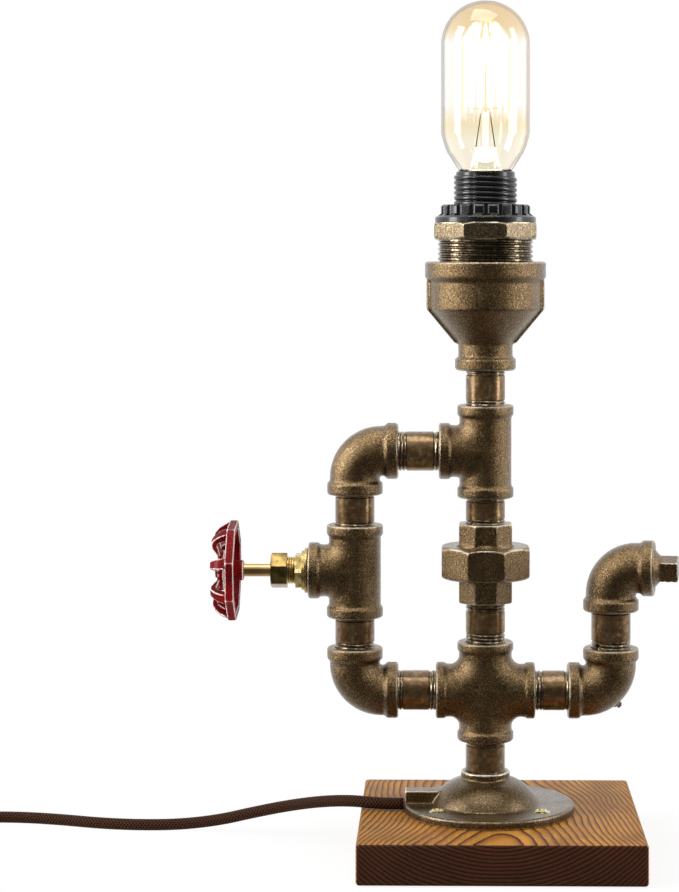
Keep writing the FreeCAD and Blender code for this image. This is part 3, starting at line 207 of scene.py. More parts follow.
def ringCorners(bm, radius, height, sides):
    # a ring of corners round the z axis, or a single one on it
    if radius < 1e-7:
        return [bm.verts.new((0, 0, height))]
    return [bm.verts.new((radius * math.cos(turn), radius * math.sin(turn), height))
            for turn in turnsOf(sides)]


def bridgeRings(bm, pairs, sides):
    # faces between each pair of rings, down to a fan where one of them is a single corner
    for first, second in pairs:
        for side in range(sides):
            after = (side + 1) % sides
            corners = list(dict.fromkeys([
                first[side % len(first)], first[after % len(first)],
                second[after % len(second)], second[side % len(second)]]))
            if len(corners) > 2:
                bm.faces.new(corners)


def turnedMesh(name, outline, sides, place=None):
    # a lathe: the outline is a closed loop of (radius, height), or starts and ends on the axis
    bm = bmesh.new()
    rings = [ringCorners(bm, radius, height, sides) for radius, height in outline]
    pairs = list(zip(rings, rings[1:]))
    if len(rings[0]) > 1:
        pairs.append((rings[-1], rings[0]))
    bridgeRings(bm, pairs, sides)
    mesh = finishMesh(name, bm)
    if place:
        mesh.transform(place)
    return mesh


def runTree(piece, tree, **values):
    # adds a Geometry Nodes modifier, with its inputs set by socket identifier
    modifier = piece.modifiers.new(tree.name, "NODES")
    modifier.node_group = tree
    for item in tree.interface.items_tree:
        if item.item_type == "SOCKET" and item.in_out == "INPUT" and item.name in values:
            modifier[item.identifier] = values[item.name]


def newTree(name, **inputs):
    # an empty geometry tree with named inputs, each given as a first value or as the name of
    # its kind, and a material; returns it with what adds its nodes and with its input sockets
    tree = bpy.data.node_groups.new(name, "GeometryNodeTree")
    kinds = {float: "Float", int: "Int"}
    inputs = {"Geometry": "Geometry", **inputs, "Material": "Material"}
    for label, value in inputs.items():
        socket = tree.interface.new_socket(
            label, in_out="INPUT", socket_type="NodeSocket" + kinds.get(type(value), str(value)))
        if type(value) in kinds:
            socket.default_value = value
    tree.interface.new_socket("Geometry", in_out="OUTPUT", socket_type="NodeSocketGeometry")
    return tree, partial(addNode, tree), tree.nodes.new("NodeGroupInput").outputs


def endTree(tree, geometry, given):
    # plain geometry again, with its material
    real = addNode(tree, "GeometryNodeRealizeInstances", [geometry])
    dressed = addNode(tree, "GeometryNodeSetMaterial", {
        0: real, "Material": given["Material"]})
    addNode(tree, "NodeGroupOutput", [dressed])
    return tree


alongLeft = Matrix.Rotation(-math.pi / 2, 4, "Y")   # local +Z runs towards -X
alongRight = Matrix.Rotation(math.pi / 2, 4, "Y")


# camera, world and lights

view = {"place": (-0.02116, -1.27791, 0.32658), "turn": (math.pi / 2 - 0.00833, 0, 0.01503),
        "lens": 95.29, "shift": (-0.08, -0.2), "reach": (0.05, 20)}
scene.camera = camera = newObject("camera", bpy.data.cameras.new("camera"))
camera.location, camera.rotation_euler = view["place"], view["turn"]
camera.data.lens = view["lens"]
camera.data.shift_x, camera.data.shift_y = view["shift"]
camera.data.clip_start, camera.data.clip_end = view["reach"]

studio = {
    "shade": 0.5,          # what the room gives to matt surfaces
    "frontGlow": 0.13,     # what polished metal sees in the dark half of the room
    # axis, where the wall starts and where it is full, its glow
    "walls": (("Y", -0.8, -0.35, 1.1), ("Z", 0.35, 0.8, 0.9)),
    "paper": "#f7f6f4",
    "lampSide": 0.86,      # how much of the paper's white is plain close to the lamp
    "fade": (0.09, 0.22),  # how far from the lamp's axis that ends
    "tableEdge": (-0.15, 0.15),
}
softboxes = {
    # place, what it is turned to, width, height, power
    "topSoftbox": ((-0.1, -0.2, 1.6), (0, 0, 0.1), 1.0, 0.8, 8),
    "leftSoftbox": ((-1.3, -0.25, 0.7), (0, 0, 0.2), 0.5, 1.2, 17),
    "rightSoftbox": ((1.3, -0.2, 0.6), (0, 0, 0.2), 0.35, 1.2, 8),
    "frontStrip": ((-0.95, -0.95, 0.8), (0, 0, 0.2), 0.15, 0.8, 3),
}


def softWhiteRoom():
    # plain white to the eye and through glass; polished metal sees light walls beside, behind
    # and above it, and a dark room in front
    scene.world, add = emptied(bpy.data.worlds.new("softWhiteRoom"))
    rays = add("LightPath").outputs
    parts = add("SeparateXYZ", [add("TexCoord").outputs["Generated"]]).outputs
    walls = [
        add("MapRange", {
            "Value": parts[axis], "From Min": start, "From Max": full,
            "To Min": studio["frontGlow"], "To Max": bright}, interpolation_type="SMOOTHSTEP")
        for axis, start, full, bright in studio["walls"]]
    glow = add("Math", walls, "MAXIMUM")
    seen = add("Mix", {0: rays["Is Glossy Ray"], 2: studio["shade"], 3: glow})
    direct = add("Math", [rays["Is Camera Ray"], rays["Is Transmission Ray"]], "MAXIMUM")
    strength = add("Mix", {0: direct, 2: seen, 3: 1.0})
    back = add("Background", {"Color": (1, 1, 1, 1), "Strength": strength})
    add("OutputWorld", {"Surface": back})


softWhiteRoom()
for name, (place, target, wide, high, power) in softboxes.items():
    lamp = bpy.data.lights.new(name, "AREA")
    lamp.shape, lamp.size, lamp.size_y, lamp.energy = "RECTANGLE", wide, high, power
    box = newObject(name, lamp)
    box.location = place
    box.rotation_euler = (Vector(target) - Vector(place)).to_track_quat("-Z", "Y").to_euler()
scene.view_settings.view_transform = "Standard"


def paperFloor():
    # seamless white paper: matt near the lamp, and plain white where only the eye sees it
    material, add, coords = newMaterial("whiteSeamlessPaper")
    away = add("VectorMath", [coords], "LENGTH")
    near, far = studio["fade"]
    fade = add("MapRange", {
        "Value": away.outputs["Value"], "From Min": near, "From Max": far,
        "To Min": studio["lampSide"], "To Max": 1}, interpolation_type="SMOOTHSTEP")
    rays = add("LightPath").outputs
    direct = rays["Is Camera Ray"]
    for kind in ("Is Glossy Ray", "Is Transmission Ray"):
        direct = add("Math", [direct, rays[kind]], "MAXIMUM")
    share = add("Math", [fade, direct], "MULTIPLY")
    matt = add("BsdfDiffuse", {"Color": linear(studio["paper"])})
    # polished metal sees the front edge of the table fall off into the dark
    parts = add("SeparateXYZ", [coords])
    front, back = studio["tableEdge"]
    depth = add("MapRange", {
        "Value": parts.outputs["Y"], "From Min": front, "From Max": back,
        "To Min": studio["frontGlow"], "To Max": 1}, interpolation_type="SMOOTHSTEP")
    mirrored = add("Mix", {0: rays["Is Glossy Ray"], 2: 1.0, 3: depth})
    white = add("Emission", {"Color": (1, 1, 1, 1), "Strength": mirrored})
    showSurface(material, add("MixShader", [share, matt, white]))

    bm = bmesh.new()
    bmesh.ops.create_grid(bm, x_segments=8, y_segments=8, size=6)
    newObject("paperFloor", finishMesh("paperFloor", bm), material)


paperFloor()
print("camera, room and floor set")


# finishes

# bright edges of the castings, partly paint rubbed through to the metal and partly painted
# highlight: their colour, where the edge mark starts and where it is full, and their strength
rubbedAndHighlit = {"bare": "#ddd3bd", "from": 0.05, "full": 0.13, "gain": 1.9}
pine = {"year": 0.0019, "heart": (-0.006, 0, -0.098), "taper": 1.1, "fibre": (1600, 60, 1600),
        "sapwood": (-0.07, 0.03),
        # the rings wander at two scales: how many waves a metre, and how far
        "wander": ((13, (0.02, 0, 0.012)), (70, (0.0022, 0, 0.001)))}
braidLay = {"threads": 8, "repeat": 0.0019}
midNoise = {"From Min": 0.3, "From Max": 0.7}
# heights of the glass's foot and dome, its radius, over which its painted rim reflection turns
# from grey to amber, where the filament's painted glow fades towards the cage's sides, and the
# heights between which the lead wires take on a painted glow
lit = {"glass": (0.385, 0.46), "wall": 0.022, "glowFades": (0.0105, 0.0132), "wires": (0.396, 0.402)}


def edgeShare(add, low, high):
    # where a piece's edges stand out, as marked on its mesh
    marked = add("Attribute", attribute_name="edgeWearAndHighlight")
    return add("MapRange", {"Value": marked.outputs["Fac"], "From Min": low, "From Max": high})


def bronzePaint(name, grain, dents, dark, middle, light, roughness, metallic=1, lacquer=0.5):
    # antique bronze hammer paint, brushed over cast iron: olive brown in the hollows, grey on its
    # raised grains, with painted glints near white on the highest, and bright along its edges,
    # partly as rubbed wear and partly as painted highlight, over a sandy skin a little under a
    # millimetre coarse; its clear lacquer whitens where it is seen from the side
    material, add, coords = newMaterial(name)
    sand = add("TexNoise", {
        "Vector": coords, "Scale": 1 / grain, "Detail": 3, "Roughness": 0.65})
    patches = add("TexNoise", {"Vector": coords, "Scale": 70, "Detail": 3, "Roughness": 0.55})
    blend = add("Mix", {0: 0.12, 2: sand, 3: patches})
    # near white on the highest grains: painted glints
    colour = add("ValToRGB", {"Fac": blend}, stops=[
        (0.36, dark), (0.5, middle), (0.62, light), (0.8, "#d8cfbb")])
    # the bright edges: partly rubbed wear, partly painted highlight
    wornAndHighlit = add("Math", [edgeShare(add, rubbedAndHighlit["from"], rubbedAndHighlit["full"]), sand], "MULTIPLY")
    wornAndHighlit = add("Math", [wornAndHighlit, rubbedAndHighlit["gain"]], "MULTIPLY", use_clamp=True)
    colour = add("Mix", {0: wornAndHighlit, 6: colour, 7: linear(rubbedAndHighlit["bare"])}, data_type="RGBA")
    gloss = add("MapRange", {
        "Value": patches, **midNoise, "To Min": roughness - 0.08, "To Max": roughness + 0.1})
    return reliefSurface(material, sand, dents, 1, {
        "Base Color": colour.outputs[2], "Metallic": metallic, "Roughness": gloss,
        "Coat Weight": lacquer, "Coat Roughness": 0.15}, ("Normal", "Coat Normal"))


def machinedBrass(name, dark, light):
    # turned brass bar: warm yellow, with fine tool marks round the axis and a little tarnish
    material, add, coords = newMaterial(name)
    marks = add("TexWave", {
        "Vector": coords, "Scale": 900, "Distortion": 1.5, "Detail": 2}, bands_direction="X")
    tarnish = add("TexNoise", {"Vector": coords, "Scale": 260, "Detail": 3})
    colour = add("ValToRGB", {"Fac": tarnish}, stops=[(0.35, dark), (0.65, light)])
    return reliefSurface(material, marks.outputs["Fac"], 0.00002, 0.6, {
        "Base Color": colour, "Metallic": 1, "Roughness": 0.2})


def redEnamel():
    # thick red enamel on die-cast zinc: deep colour under a wet gloss, with a faint orange peel,
    # and a near-white painted highlight along its edges
    material, add, coords = newMaterial("dippedRedEnamel")
    peel = add("TexNoise", {"Vector": coords, "Scale": 420, "Detail": 1})
    shade = add("TexNoise", {"Vector": coords, "Scale": 90, "Detail": 2})
    colour = add("ValToRGB", {"Fac": shade}, stops=[(0.3, "#4c0103"), (0.7, "#7e0408")])
    # painted highlight: near white along the edges
    edgeHighlight = add("Math", [edgeShare(add, 0.03, 0.09), 0.95], "MULTIPLY")
    colour = add("Mix", {0: edgeHighlight, 6: colour, 7: linear("#f4dcd8")}, data_type="RGBA")
    return reliefSurface(material, peel, 0.00008, 0.7, {
        "Base Color": colour.outputs[2], "Roughness": 0.5, "Specular IOR Level": 0.05,
        "Coat Weight": 0.15, "Coat Roughness": 0.03}, ("Normal", "Coat Normal"))


def plainFinish(name, colour, roughness, metallic=0, grain=0.0005, depth=0.00003, coat=0):
    # a single-material finish with a fine grain of its own size
    material, add, coords = newMaterial(name)
    fine = add("TexNoise", {"Vector": coords, "Scale": 1 / grain, "Detail": 3})
    broad = add("TexNoise", {"Vector": coords, "Scale": 120, "Detail": 2})
    tone, gloss = [
        add("MapRange", {"Value": noise, **midNoise, "To Min": low, "To Max": high})
        for noise, low, high in (
            (broad, 0.85, 1.15), (fine, roughness * 0.85, min(1, roughness * 1.2)))]
    tint = add("VectorMath", {0: linear(colour)[:3], "Scale": tone}, "SCALE")
    return reliefSurface(material, fine, depth, 1, {
        "Base Color": tint, "Metallic": metallic, "Roughness": gloss, "Coat Weight": coat,
        "Coat Roughness": 0.05})


def oiledPine(name, pale, warm, dark, fineShare, fading):
    # flame-darkened pine under oil: soft early wood between thin hard dark rings 1.9 mm apart.
    # The heart of the log lies above the block, so that the rings run front to back on its top
    # and sag across its front; towards +X it turns from heartwood to paler sapwood
    material, add, coords = newMaterial(name)
    shift, lengthwise, stretched = [
        add("Mapping", {"Vector": coords, socket: value}, vector_type="POINT")
        for socket, value in (
            ("Location", pine["heart"]), ("Scale", (1, 0.7, 1)), ("Scale", pine["fibre"]))]
    for scale, reach in pine["wander"]:
        wander = add("TexNoise", {
            "Vector": lengthwise, "Scale": scale, "Detail": 1, "Roughness": 0.4})
        away = add("VectorMath", [wander.outputs["Color"], (0.5, 0.5, 0.5)], "SUBTRACT")
        shift = add("VectorMath", [away, reach, shift], "MULTIPLY_ADD")
    parts = add("SeparateXYZ", [shift]).outputs
    acrossOnly = add("CombineXYZ", {"X": parts["X"], "Z": parts["Z"]})
    radius = add("VectorMath", [acrossOnly], "LENGTH")
    taper = add("Math", [parts["Y"], pine["taper"], 1.0], "MULTIPLY_ADD")
    grown = add("Math", [radius.outputs["Value"], taper], "MULTIPLY")
    year = add("Math", [grown, 1 / pine["year"]], "MULTIPLY")
    season = add("Math", [year], "FRACT")
    ring = add("ValToRGB", {"Fac": season}, stops=[
        (0.0, pale), (0.38, pale), (0.72, warm), (0.86, dark), (0.95, dark), (1.0, pale)])
    uneven = add("TexNoise", {"Vector": lengthwise, "Scale": 55, "Detail": 2, "Roughness": 0.6})
    faint = add("MapRange", {
        "Value": uneven, "From Min": 0.42, "From Max": 0.7, "To Min": 0, "To Max": fading})
    ring = add("Mix", {0: faint, 6: ring, 7: linear(warm)}, data_type="RGBA")
    fibres = add("TexNoise", {"Vector": stretched, "Scale": 1, "Detail": 3})
    stain = add("TexNoise", {"Vector": coords, "Scale": 42, "Detail": 3})
    tone = add("Mix", {0: fineShare, 2: stain, 3: fibres})
    depth = add("MapRange", {"Value": tone, **midNoise, "To Min": 0.6, "To Max": 1.35})
    across = add("SeparateXYZ", [coords]).outputs["X"]
    low, high = pine["sapwood"]
    sapwood = add("MapRange", {
        "Value": across, "From Min": low, "From Max": high, "To Min": 0.84, "To Max": 1.02})
    depth = add("Math", [depth, sapwood], "MULTIPLY")
    colour = add("VectorMath", {0: ring.outputs[2], "Scale": depth}, "SCALE")
    height = add("Mix", {0: 0.5, 2: season, 3: fibres})
    return reliefSurface(material, height, 0.00015, 0.5, {
        "Base Color": colour, "Roughness": 0.55, "Specular IOR Level": 0.15})


def clearGlass(name, tint, roughness, glow):
    # pressed soda-lime glass, with a faint painted glow in its own tint that stands for the
    # filament's light close by
    material, add, coords = newMaterial(name)
    waves = add("TexNoise", {"Vector": coords, "Scale": 60, "Detail": 1})
    # the emission is the painted glow
    return reliefSurface(material, waves, 0.0001, 0.15, {
        "Base Color": linear(tint), "Roughness": roughness, "IOR": 1.5,
        "Transmission Weight": 1, "Emission Color": linear(tint), "Emission Strength": glow})


def fumedGlass():
    # blown glass, clear round the filament and fumed to a faint amber in its dome and foot.
    # Where it is seen edge on, a painted reflection outlines the wall: grey on one side, amber on
    # the other
    material, add, coords = newMaterial("fumedBlownGlass")
    parts = add("SeparateXYZ", [coords]).outputs
    (foot, dome), wall = lit["glass"], lit["wall"]
    up = add("MapRange", {"Value": parts["Z"], "From Min": foot, "From Max": dome})
    column = add("ValToRGB", {"Fac": up}, stops=[
        (0.0, "#fdf9ee"), (0.12, "#fcf3de"), (0.26, "#fffefa"), (0.7, "#fffffc"),
        (0.8, "#faecd2"), (1.0, "#f1e0c0")])
    # the painted reflection on the outline: grey towards -X, amber towards +X
    aside = add("MapRange", {"Value": parts["X"], "From Min": -wall, "From Max": wall})
    edge = add("Mix", {0: aside, 6: linear("#4c463e"), 7: linear("#8f6028")}, data_type="RGBA")
    facing = add("LayerWeight", {"Blend": 0.5}).outputs["Facing"]
    reflectionRim = add("MapRange", {"Value": facing, "From Min": 0.64, "From Max": 0.8})
    colour = add("Mix", {0: reflectionRim, 6: column, 7: edge.outputs[2]}, data_type="RGBA")
    waves = add("TexNoise", {"Vector": coords, "Scale": 60, "Detail": 1})
    return reliefSurface(material, waves, 0.0001, 0.12, {
        "Base Color": colour.outputs[2], "Roughness": 0, "IOR": 1.45,
        "Transmission Weight": 1})


def glowingWire():
    # carbonised filament at full current; painted glow: white and brighter in the middle of the
    # cage, yellow at its sides
    material, add, coords = newMaterial("glowingCarbonFilament")
    parts = add("SeparateXYZ", [coords])
    aside = add("Math", [parts.outputs["X"]], "ABSOLUTE")
    fullGlow, fadedGlow = lit["glowFades"]
    # painted glow that fades from the middle of the cage in x to its sides
    paintedGlowRamp = add("MapRange", {"Value": aside, "From Min": fullGlow, "From Max": fadedGlow})
    colour = add("ValToRGB", {"Fac": paintedGlowRamp}, stops=[(0, "#fff6dc"), (1, "#f7dc92")])
    power = add("MapRange", {"Value": paintedGlowRamp, "To Min": 3.0, "To Max": 1.1})
    return showSurface(material, add("Emission", {"Color": colour, "Strength": power}))


def supportWire():
    # nickel-iron lead wire: bare and dark at its foot, with a painted glow above that stands for
    # the filament's light
    material, add, coords = newMaterial("drawnLeadWire")
    parts = add("SeparateXYZ", [coords])
    bare, lost = lit["wires"]
    paintedGlowRamp = add("MapRange", {"Value": parts.outputs["Z"], "From Min": bare, "From Max": lost})
    metal = add("BsdfPrincipled", {
        "Base Color": linear("#5a5248"), "Metallic": 1, "Roughness": 0.35})
    # the painted glow on the upper wire
    light = add("Emission", {"Color": linear("#ffe9b8"), "Strength": 1.1})
    return showSurface(material, add("MixShader", [paintedGlowRamp, metal, light]))


def cottonBraid():
    # cotton braided over the flex: two sets of dark threads that cross every millimetre, with
    # painted shade near black in the grooves between them
    material, add, _ = newMaterial("braidedCotton")
    parts = add("SeparateXYZ", [add("UVMap", uv_map="along")]).outputs
    threads = []
    for lean in (braidLay["threads"], -braidLay["threads"]):
        around = add("Math", [parts["Y"], lean], "MULTIPLY")
        along = add("Math", [parts["X"], 1 / braidLay["repeat"], around], "MULTIPLY_ADD")
        turns = add("Math", [along, 2 * math.pi], "MULTIPLY")
        threads.append(add("Math", [turns], "SINE"))
    crossing = add("Math", threads, "MAXIMUM")
    height = add("MapRange", {"Value": crossing, "From Min": -1, "From Max": 1})
    # colour follows the relief: painted shade near black in the grooves, brown on the threads
    colour = add("ValToRGB", {"Fac": height}, stops=[
        (0.15, "#020100"), (0.6, "#110804"), (1.0, "#4c2d19")])
    return reliefSurface(material, height, 0.0004, 0.8, {
        "Base Color": colour, "Roughness": 0.5, "Specular IOR Level": 0.07})


castPaint, pipePaint, flangePaint, threadPaint, rubbedThread, bushingPaint = [
    # grain, dents, three tones, roughness, and where they differ metallic and lacquer
    bronzePaint(*paint) for paint in (
        ("bronzeHammerPaintOnCastIron", 0.0007, 0.0003, "#392913", "#624a29", "#957b4e", 0.29),
        ("bronzePaintOnDrawnPipe", 0.003, 0.00001, "#594327", "#705534", "#866b46", 0.27, 0.85),
        ("bronzePaintOnSmoothCastIron", 0.0007, 0.00014, "#2c1e0b", "#4c3819", "#7b6338", 0.3,
         0.75, 0.3),
        ("bronzePaintWornOnThread", 0.0016, 0.00001, "#332a1c", "#5b4c35", "#94846a", 0.2),
        ("bronzePaintRubbedOffThread", 0.0016, 0.00001, "#3a3022", "#665742", "#a89879", 0.2),
        ("bronzePaintOnTurnedCastIron", 0.0008, 0.0001, "#3b2d19", "#635236", "#928163", 0.28,
         0.9))]
brass = machinedBrass("turnedBrassTarnished", "#6a572e", "#9c8450")
brightBrass = machinedBrass("turnedBrassBright", "#967a42", "#dcc58a")
enamel = redEnamel()
pineTop = oiledPine("oiledPineLongGrain", "#b07b34", "#875421", "#331805", 0.35, 0.5)
# the front and back: much darker than the top, partly as end grain and partly as painted shade
pineEndGrainAndShade = oiledPine("oiledPineEndGrainAndShade", "#421f08", "#2c1204", "#0c0401", 0.7, 0.1)
bulbGlass = fumedGlass()
glowingStemGlass = clearGlass("pressedStemGlassWithPaintedGlow", "#fffdf0", 0.05, 0.3)
leadWire = supportWire()
filamentGlow = glowingWire()
phenolic = plainFinish("mouldedPhenolicBlack", "#060606", 0.25, grain=0.0012, depth=0.000002,
                       coat=0.2)
nickel = plainFinish("pressedNickelledBrass", "#b9b2a2", 0.25, metallic=1)
zincScrew = plainFinish("zincPlatedSteelScrew", "#cdbf92", 0.2, metallic=1, grain=0.0008)
plugPlastic = plainFinish("mouldedPvcPlug", "#191415", 0.42, grain=0.0007, depth=0.00005)
braid = cottonBraid()

# the CAD nodes that show as they are
cadFinishes = [
    (phenolic, "lampholder_ring"),
    (nickel, "bulb_cap", "bulb_contact"),
    (glowingStemGlass, "bulb_stem"),
    (leadWire, "bulb_supports"),
    (enamel, "handwheel_nut"),
    (plainFinish("pressedSheetBrass", "#b8923f", 0.3, metallic=1),
     "lampholder_shell", "lampholder_contact", "lampholder_terminals"),
    (plainFinish("drawnStemBrass", "#b99563", 0.18, metallic=1, depth=0.00001), "valve_stem"),
    (plainFinish("fusedBlackGlass", "#0b0b0c", 0.15, coat=0.8), "bulb_insulator"),
    (plainFinish("glazedSteatite", "#e9e4d8", 0.3, coat=0.4),
     "lampholder_liner", "connector_block"),
    (plainFinish("pressedWoolFelt", "#2a2a2c", 0.95, grain=0.0009, depth=0.0003), "base_felt"),
    (plainFinish("pressedFibreGasket", "#5b3a28", 0.8), "union_gasket"),
    (plainFinish("graphitedPacking", "#2b2b2d", 0.5), "packing_ring"),
    (plainFinish("mouldedSwitchCase", "#1c1d20", 0.45), "dimmer_switch"),
    (plainFinish("mouldedBlackRubber", "#17171a", 0.6, grain=0.0006), "cord_grommet"),
    (plainFinish("pvcLeadBlack", "#151517", 0.45), "lead_base_switch", "lead_switch_holder"),
    (plainFinish("pvcLeadBrown", "#4d2d1a", 0.45), "lead_base_holder", "cord_inner"),
]
for finish, *nodes in cadFinishes:
    for node in nodes:
        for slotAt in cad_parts[node].material_slots:
            slotAt.material = finish
print("finishes made")


# castings

casting = {
    "voxel": 0.0006,       # finer than the smallest rounded edge
    "softening": 5,
    "lump": 0.0012,        # sand grain under the paint
    "depth": 0.00012,
    "seam": 0.0002,        # flash left along the mould's parting plane
    "seamWide": 0.0005,
    "paint": castPaint,
    "stub": False,
}
smoothMould = {"softening": 2, "seam": 0.0, "depth": 0.00007}
gateStub = {"middle": (0.0702, 0, 0.0806), "towards": (0.5, 0, -0.87), "reach": 0.002,
            "height": 0.0034}


def castSkinTree():
    # lifts the skin by sandy noise, and along the parting plane y = 0 by a low ridge
    tree, add, given = newTree("castSkin", Lump=0.001, Depth=0.0001, Seam=0.0,
                               SeamWide=0.0005, Seed=1.0)
    place = add("GeometryNodeInputPosition")
    scale = add("Math", [1.0, given["Lump"]], "DIVIDE")
    sand = add("TexNoise", {
        "Vector": place, "W": given["Seed"], "Scale": scale, "Detail": 1.5},
        noise_dimensions="4D")
    level = add("Math", [sand, 0.5], "SUBTRACT")
    lift = add("Math", [level, given["Depth"]], "MULTIPLY")
    parts = add("SeparateXYZ", [place])
    off = add("Math", [parts.outputs["Y"]], "ABSOLUTE")
    ridge = add("MapRange", {
        "Value": off, "From Min": 0.0, "From Max": given["SeamWide"],
        "To Min": given["Seam"], "To Max": 0.0}, interpolation_type="SMOOTHSTEP")
    total = add("Math", [lift, ridge], "ADD")
    offset = add("VectorMath", {0: add("GeometryNodeInputNormal"), "Scale": total}, "SCALE")
    moved = add("GeometryNodeSetPosition", {0: given["Geometry"], "Offset": offset})
    return endTree(tree, moved, given)


castSkin = castSkinTree()


def raiseStub(mesh):
    # the broken end of the casting gate, left standing on the skin
    middle, towards = Vector(gateStub["middle"]), Vector(gateStub["towards"])
    for corner in mesh.vertices:
        away = (corner.co - middle).length / gateStub["reach"]
        if away < 2 and corner.normal.dot(towards) > 0.3:
            corner.co += corner.normal * gateStub["height"] * math.exp(-away ** 4)


def sandCast(name, mesh, seed, **changes):
    # a mesh with the rounded corners and rough skin of a sand casting
    cast = {**casting, **changes}
    piece = newObject(name, mesh)
    voxels = piece.modifiers.new("voxels", "REMESH")
    voxels.mode = "VOXEL"
    voxels.voxel_size = cast["voxel"]
    soften = piece.modifiers.new("soften", "SMOOTH")
    soften.iterations = cast["softening"]
    settle(piece)
    # how far its edges stand out, kept on the mesh as a mask for rubbed wear and for painted
    # highlights
    wearAndHighlight = edgeSharpness(piece.data, cast["voxel"])
    if cast["stub"]:
        raiseStub(piece.data)
    runTree(piece, castSkin, Lump=cast["lump"], Depth=cast["depth"], Seam=cast["seam"],
            SeamWide=cast["seamWide"], Seed=float(seed), Material=cast["paint"])
    settle(piece)
    mark = piece.data.attributes.new("edgeWearAndHighlight", "FLOAT", "POINT")
    mark.data.foreach_set("value", wearAndHighlight)
    return piece


castings = [
    ("cross_fitting", "castCross", {}),
    ("tee_column", "castTeeOnColumn", {}),
    ("tee_left", "castTeeAtValve", {}),
    ("elbow_left_lower", "castElbowLeftLower", {}),
    ("elbow_left_upper", "castElbowLeftUpper", {}),
    ("elbow_right_lower", "castElbowRightLower", {"stub": True}),
    ("elbow_right_upper", "castElbowRightUpper", {}),
    ("bell_reducer", "castBellReducer", {}),
    ("floor_flange", "castFloorFlange", {**smoothMould, "paint": flangePaint}),
    ("union_lower", "castUnionLower", smoothMould),
    ("union_upper", "castUnionUpper", smoothMould),
    ("union_nut", "castUnionNut", smoothMould),
    ("square_plug", "castSquarePlug", smoothMould),
]
for number, (node, name, changes) in enumerate(castings):
    handOver(sandCast(name, copyOfCad(node), number * 7 + 3, **changes), None,
             "cast_bronze_paint", node)
print("castings made")


# pipe nipples, with the last turns of their threads showing

nipple = {
    "outer": 0.0213, "bore": 0.016, "grip": 0.0095, "chamfer": 0.0008, "sides": 64,
    "pitch": 0.00181,      # 14 turns to the inch
    "depth": 0.0006, "runOut": 0.0005,
    # length of thread in sight at the low or left end and at the other end
    "shown": {
        "nipple_flange_cross": (0.0, 0.0024), "nipple_cross_union": (0.0046, 0.0044),
        "nipple_union_tee": (0.0022, 0.0016), "nipple_tee_reducer": (0.0024, 0.0024),
        "nipple_left_lower": (0.0026, 0.0012), "nipple_left_upper": (0.001, 0.001),
        "nipple_right_riser": (0.0036, 0.0008), "nipple_cross_left": (0.0024, 0.0034),
        "nipple_elbow_tee": (0.0044, 0.0026), "nipple_cross_right": (0.0038, 0.0014),
    },
}


def threadTree():
    # winds a ridge with a narrow flat crest round the z axis, from Start upwards
    tree, add, given = newTree("threadRidge", Turns=5.0, Pitch=0.0018, Radius=0.01,
                               Depth=0.0006, Start=0.0, Sides=8)
    rise = add("Math", [given["Turns"], given["Pitch"]], "MULTIPLY")
    line = add("GeometryNodeCurveSpiral", {
        "Resolution": 56, "Rotations": given["Turns"], "Start Radius": given["Radius"],
        "End Radius": given["Radius"], "Height": rise})
    half = add("Math", [given["Pitch"], 0.47], "MULTIPLY")
    shape = add("CombineXYZ", {"X": given["Depth"], "Y": half, "Z": 1.0})
    section = add("GeometryNodeCurvePrimitiveCircle", {
        "Resolution": given["Sides"], "Radius": 1.0})
    tilt = add("Math", [math.pi, given["Sides"]], "DIVIDE")
    tilt = add("CombineXYZ", {"Z": tilt})
    flatOut = add("GeometryNodeTransform", {0: section, "Rotation": tilt})
    profile = add("GeometryNodeTransform", {0: flatOut, "Scale": shape})
    steady = add("GeometryNodeSetCurveNormal", [line], mode="Z_UP")
    ridge = add("GeometryNodeCurveToMesh", {0: steady, 1: profile, "Fill Caps": True})
    lift = add("CombineXYZ", {"Z": given["Start"]})
    placed = add("GeometryNodeTransform", {0: ridge, "Translation": lift})
    both = add("GeometryNodeJoinGeometry", [given["Geometry"]])
    tree.links.new(placed.outputs[0], both.inputs[0])
    return endTree(tree, both, given)


threadRidge = threadTree()


def addThreads(piece, finish, pitch, radius, depth, runs, place=None):
    # winds a ridge for each run of (start, length), and joins them to the piece with a finish
    # of their own
    ridge = newObject("ridges", bpy.data.meshes.new("ridges"))
    for start, length in runs:
        runTree(ridge, threadRidge, Turns=length / pitch, Pitch=pitch, Radius=radius,
                Depth=depth, Start=start, Material=finish)
    settle(ridge, finish)
    if place:
        ridge.data.transform(place)
    bm = bmesh.new()
    bm.from_mesh(piece.data)
    own = len(bm.faces)
    bm.from_mesh(ridge.data)
    bm.faces.ensure_lookup_table()
    for face in bm.faces[own:]:
        face.material_index = len(piece.data.materials)
    piece.data.materials.append(finish)
    bm.to_mesh(piece.data)
    bm.free()
    bpy.data.objects.remove(ridge)


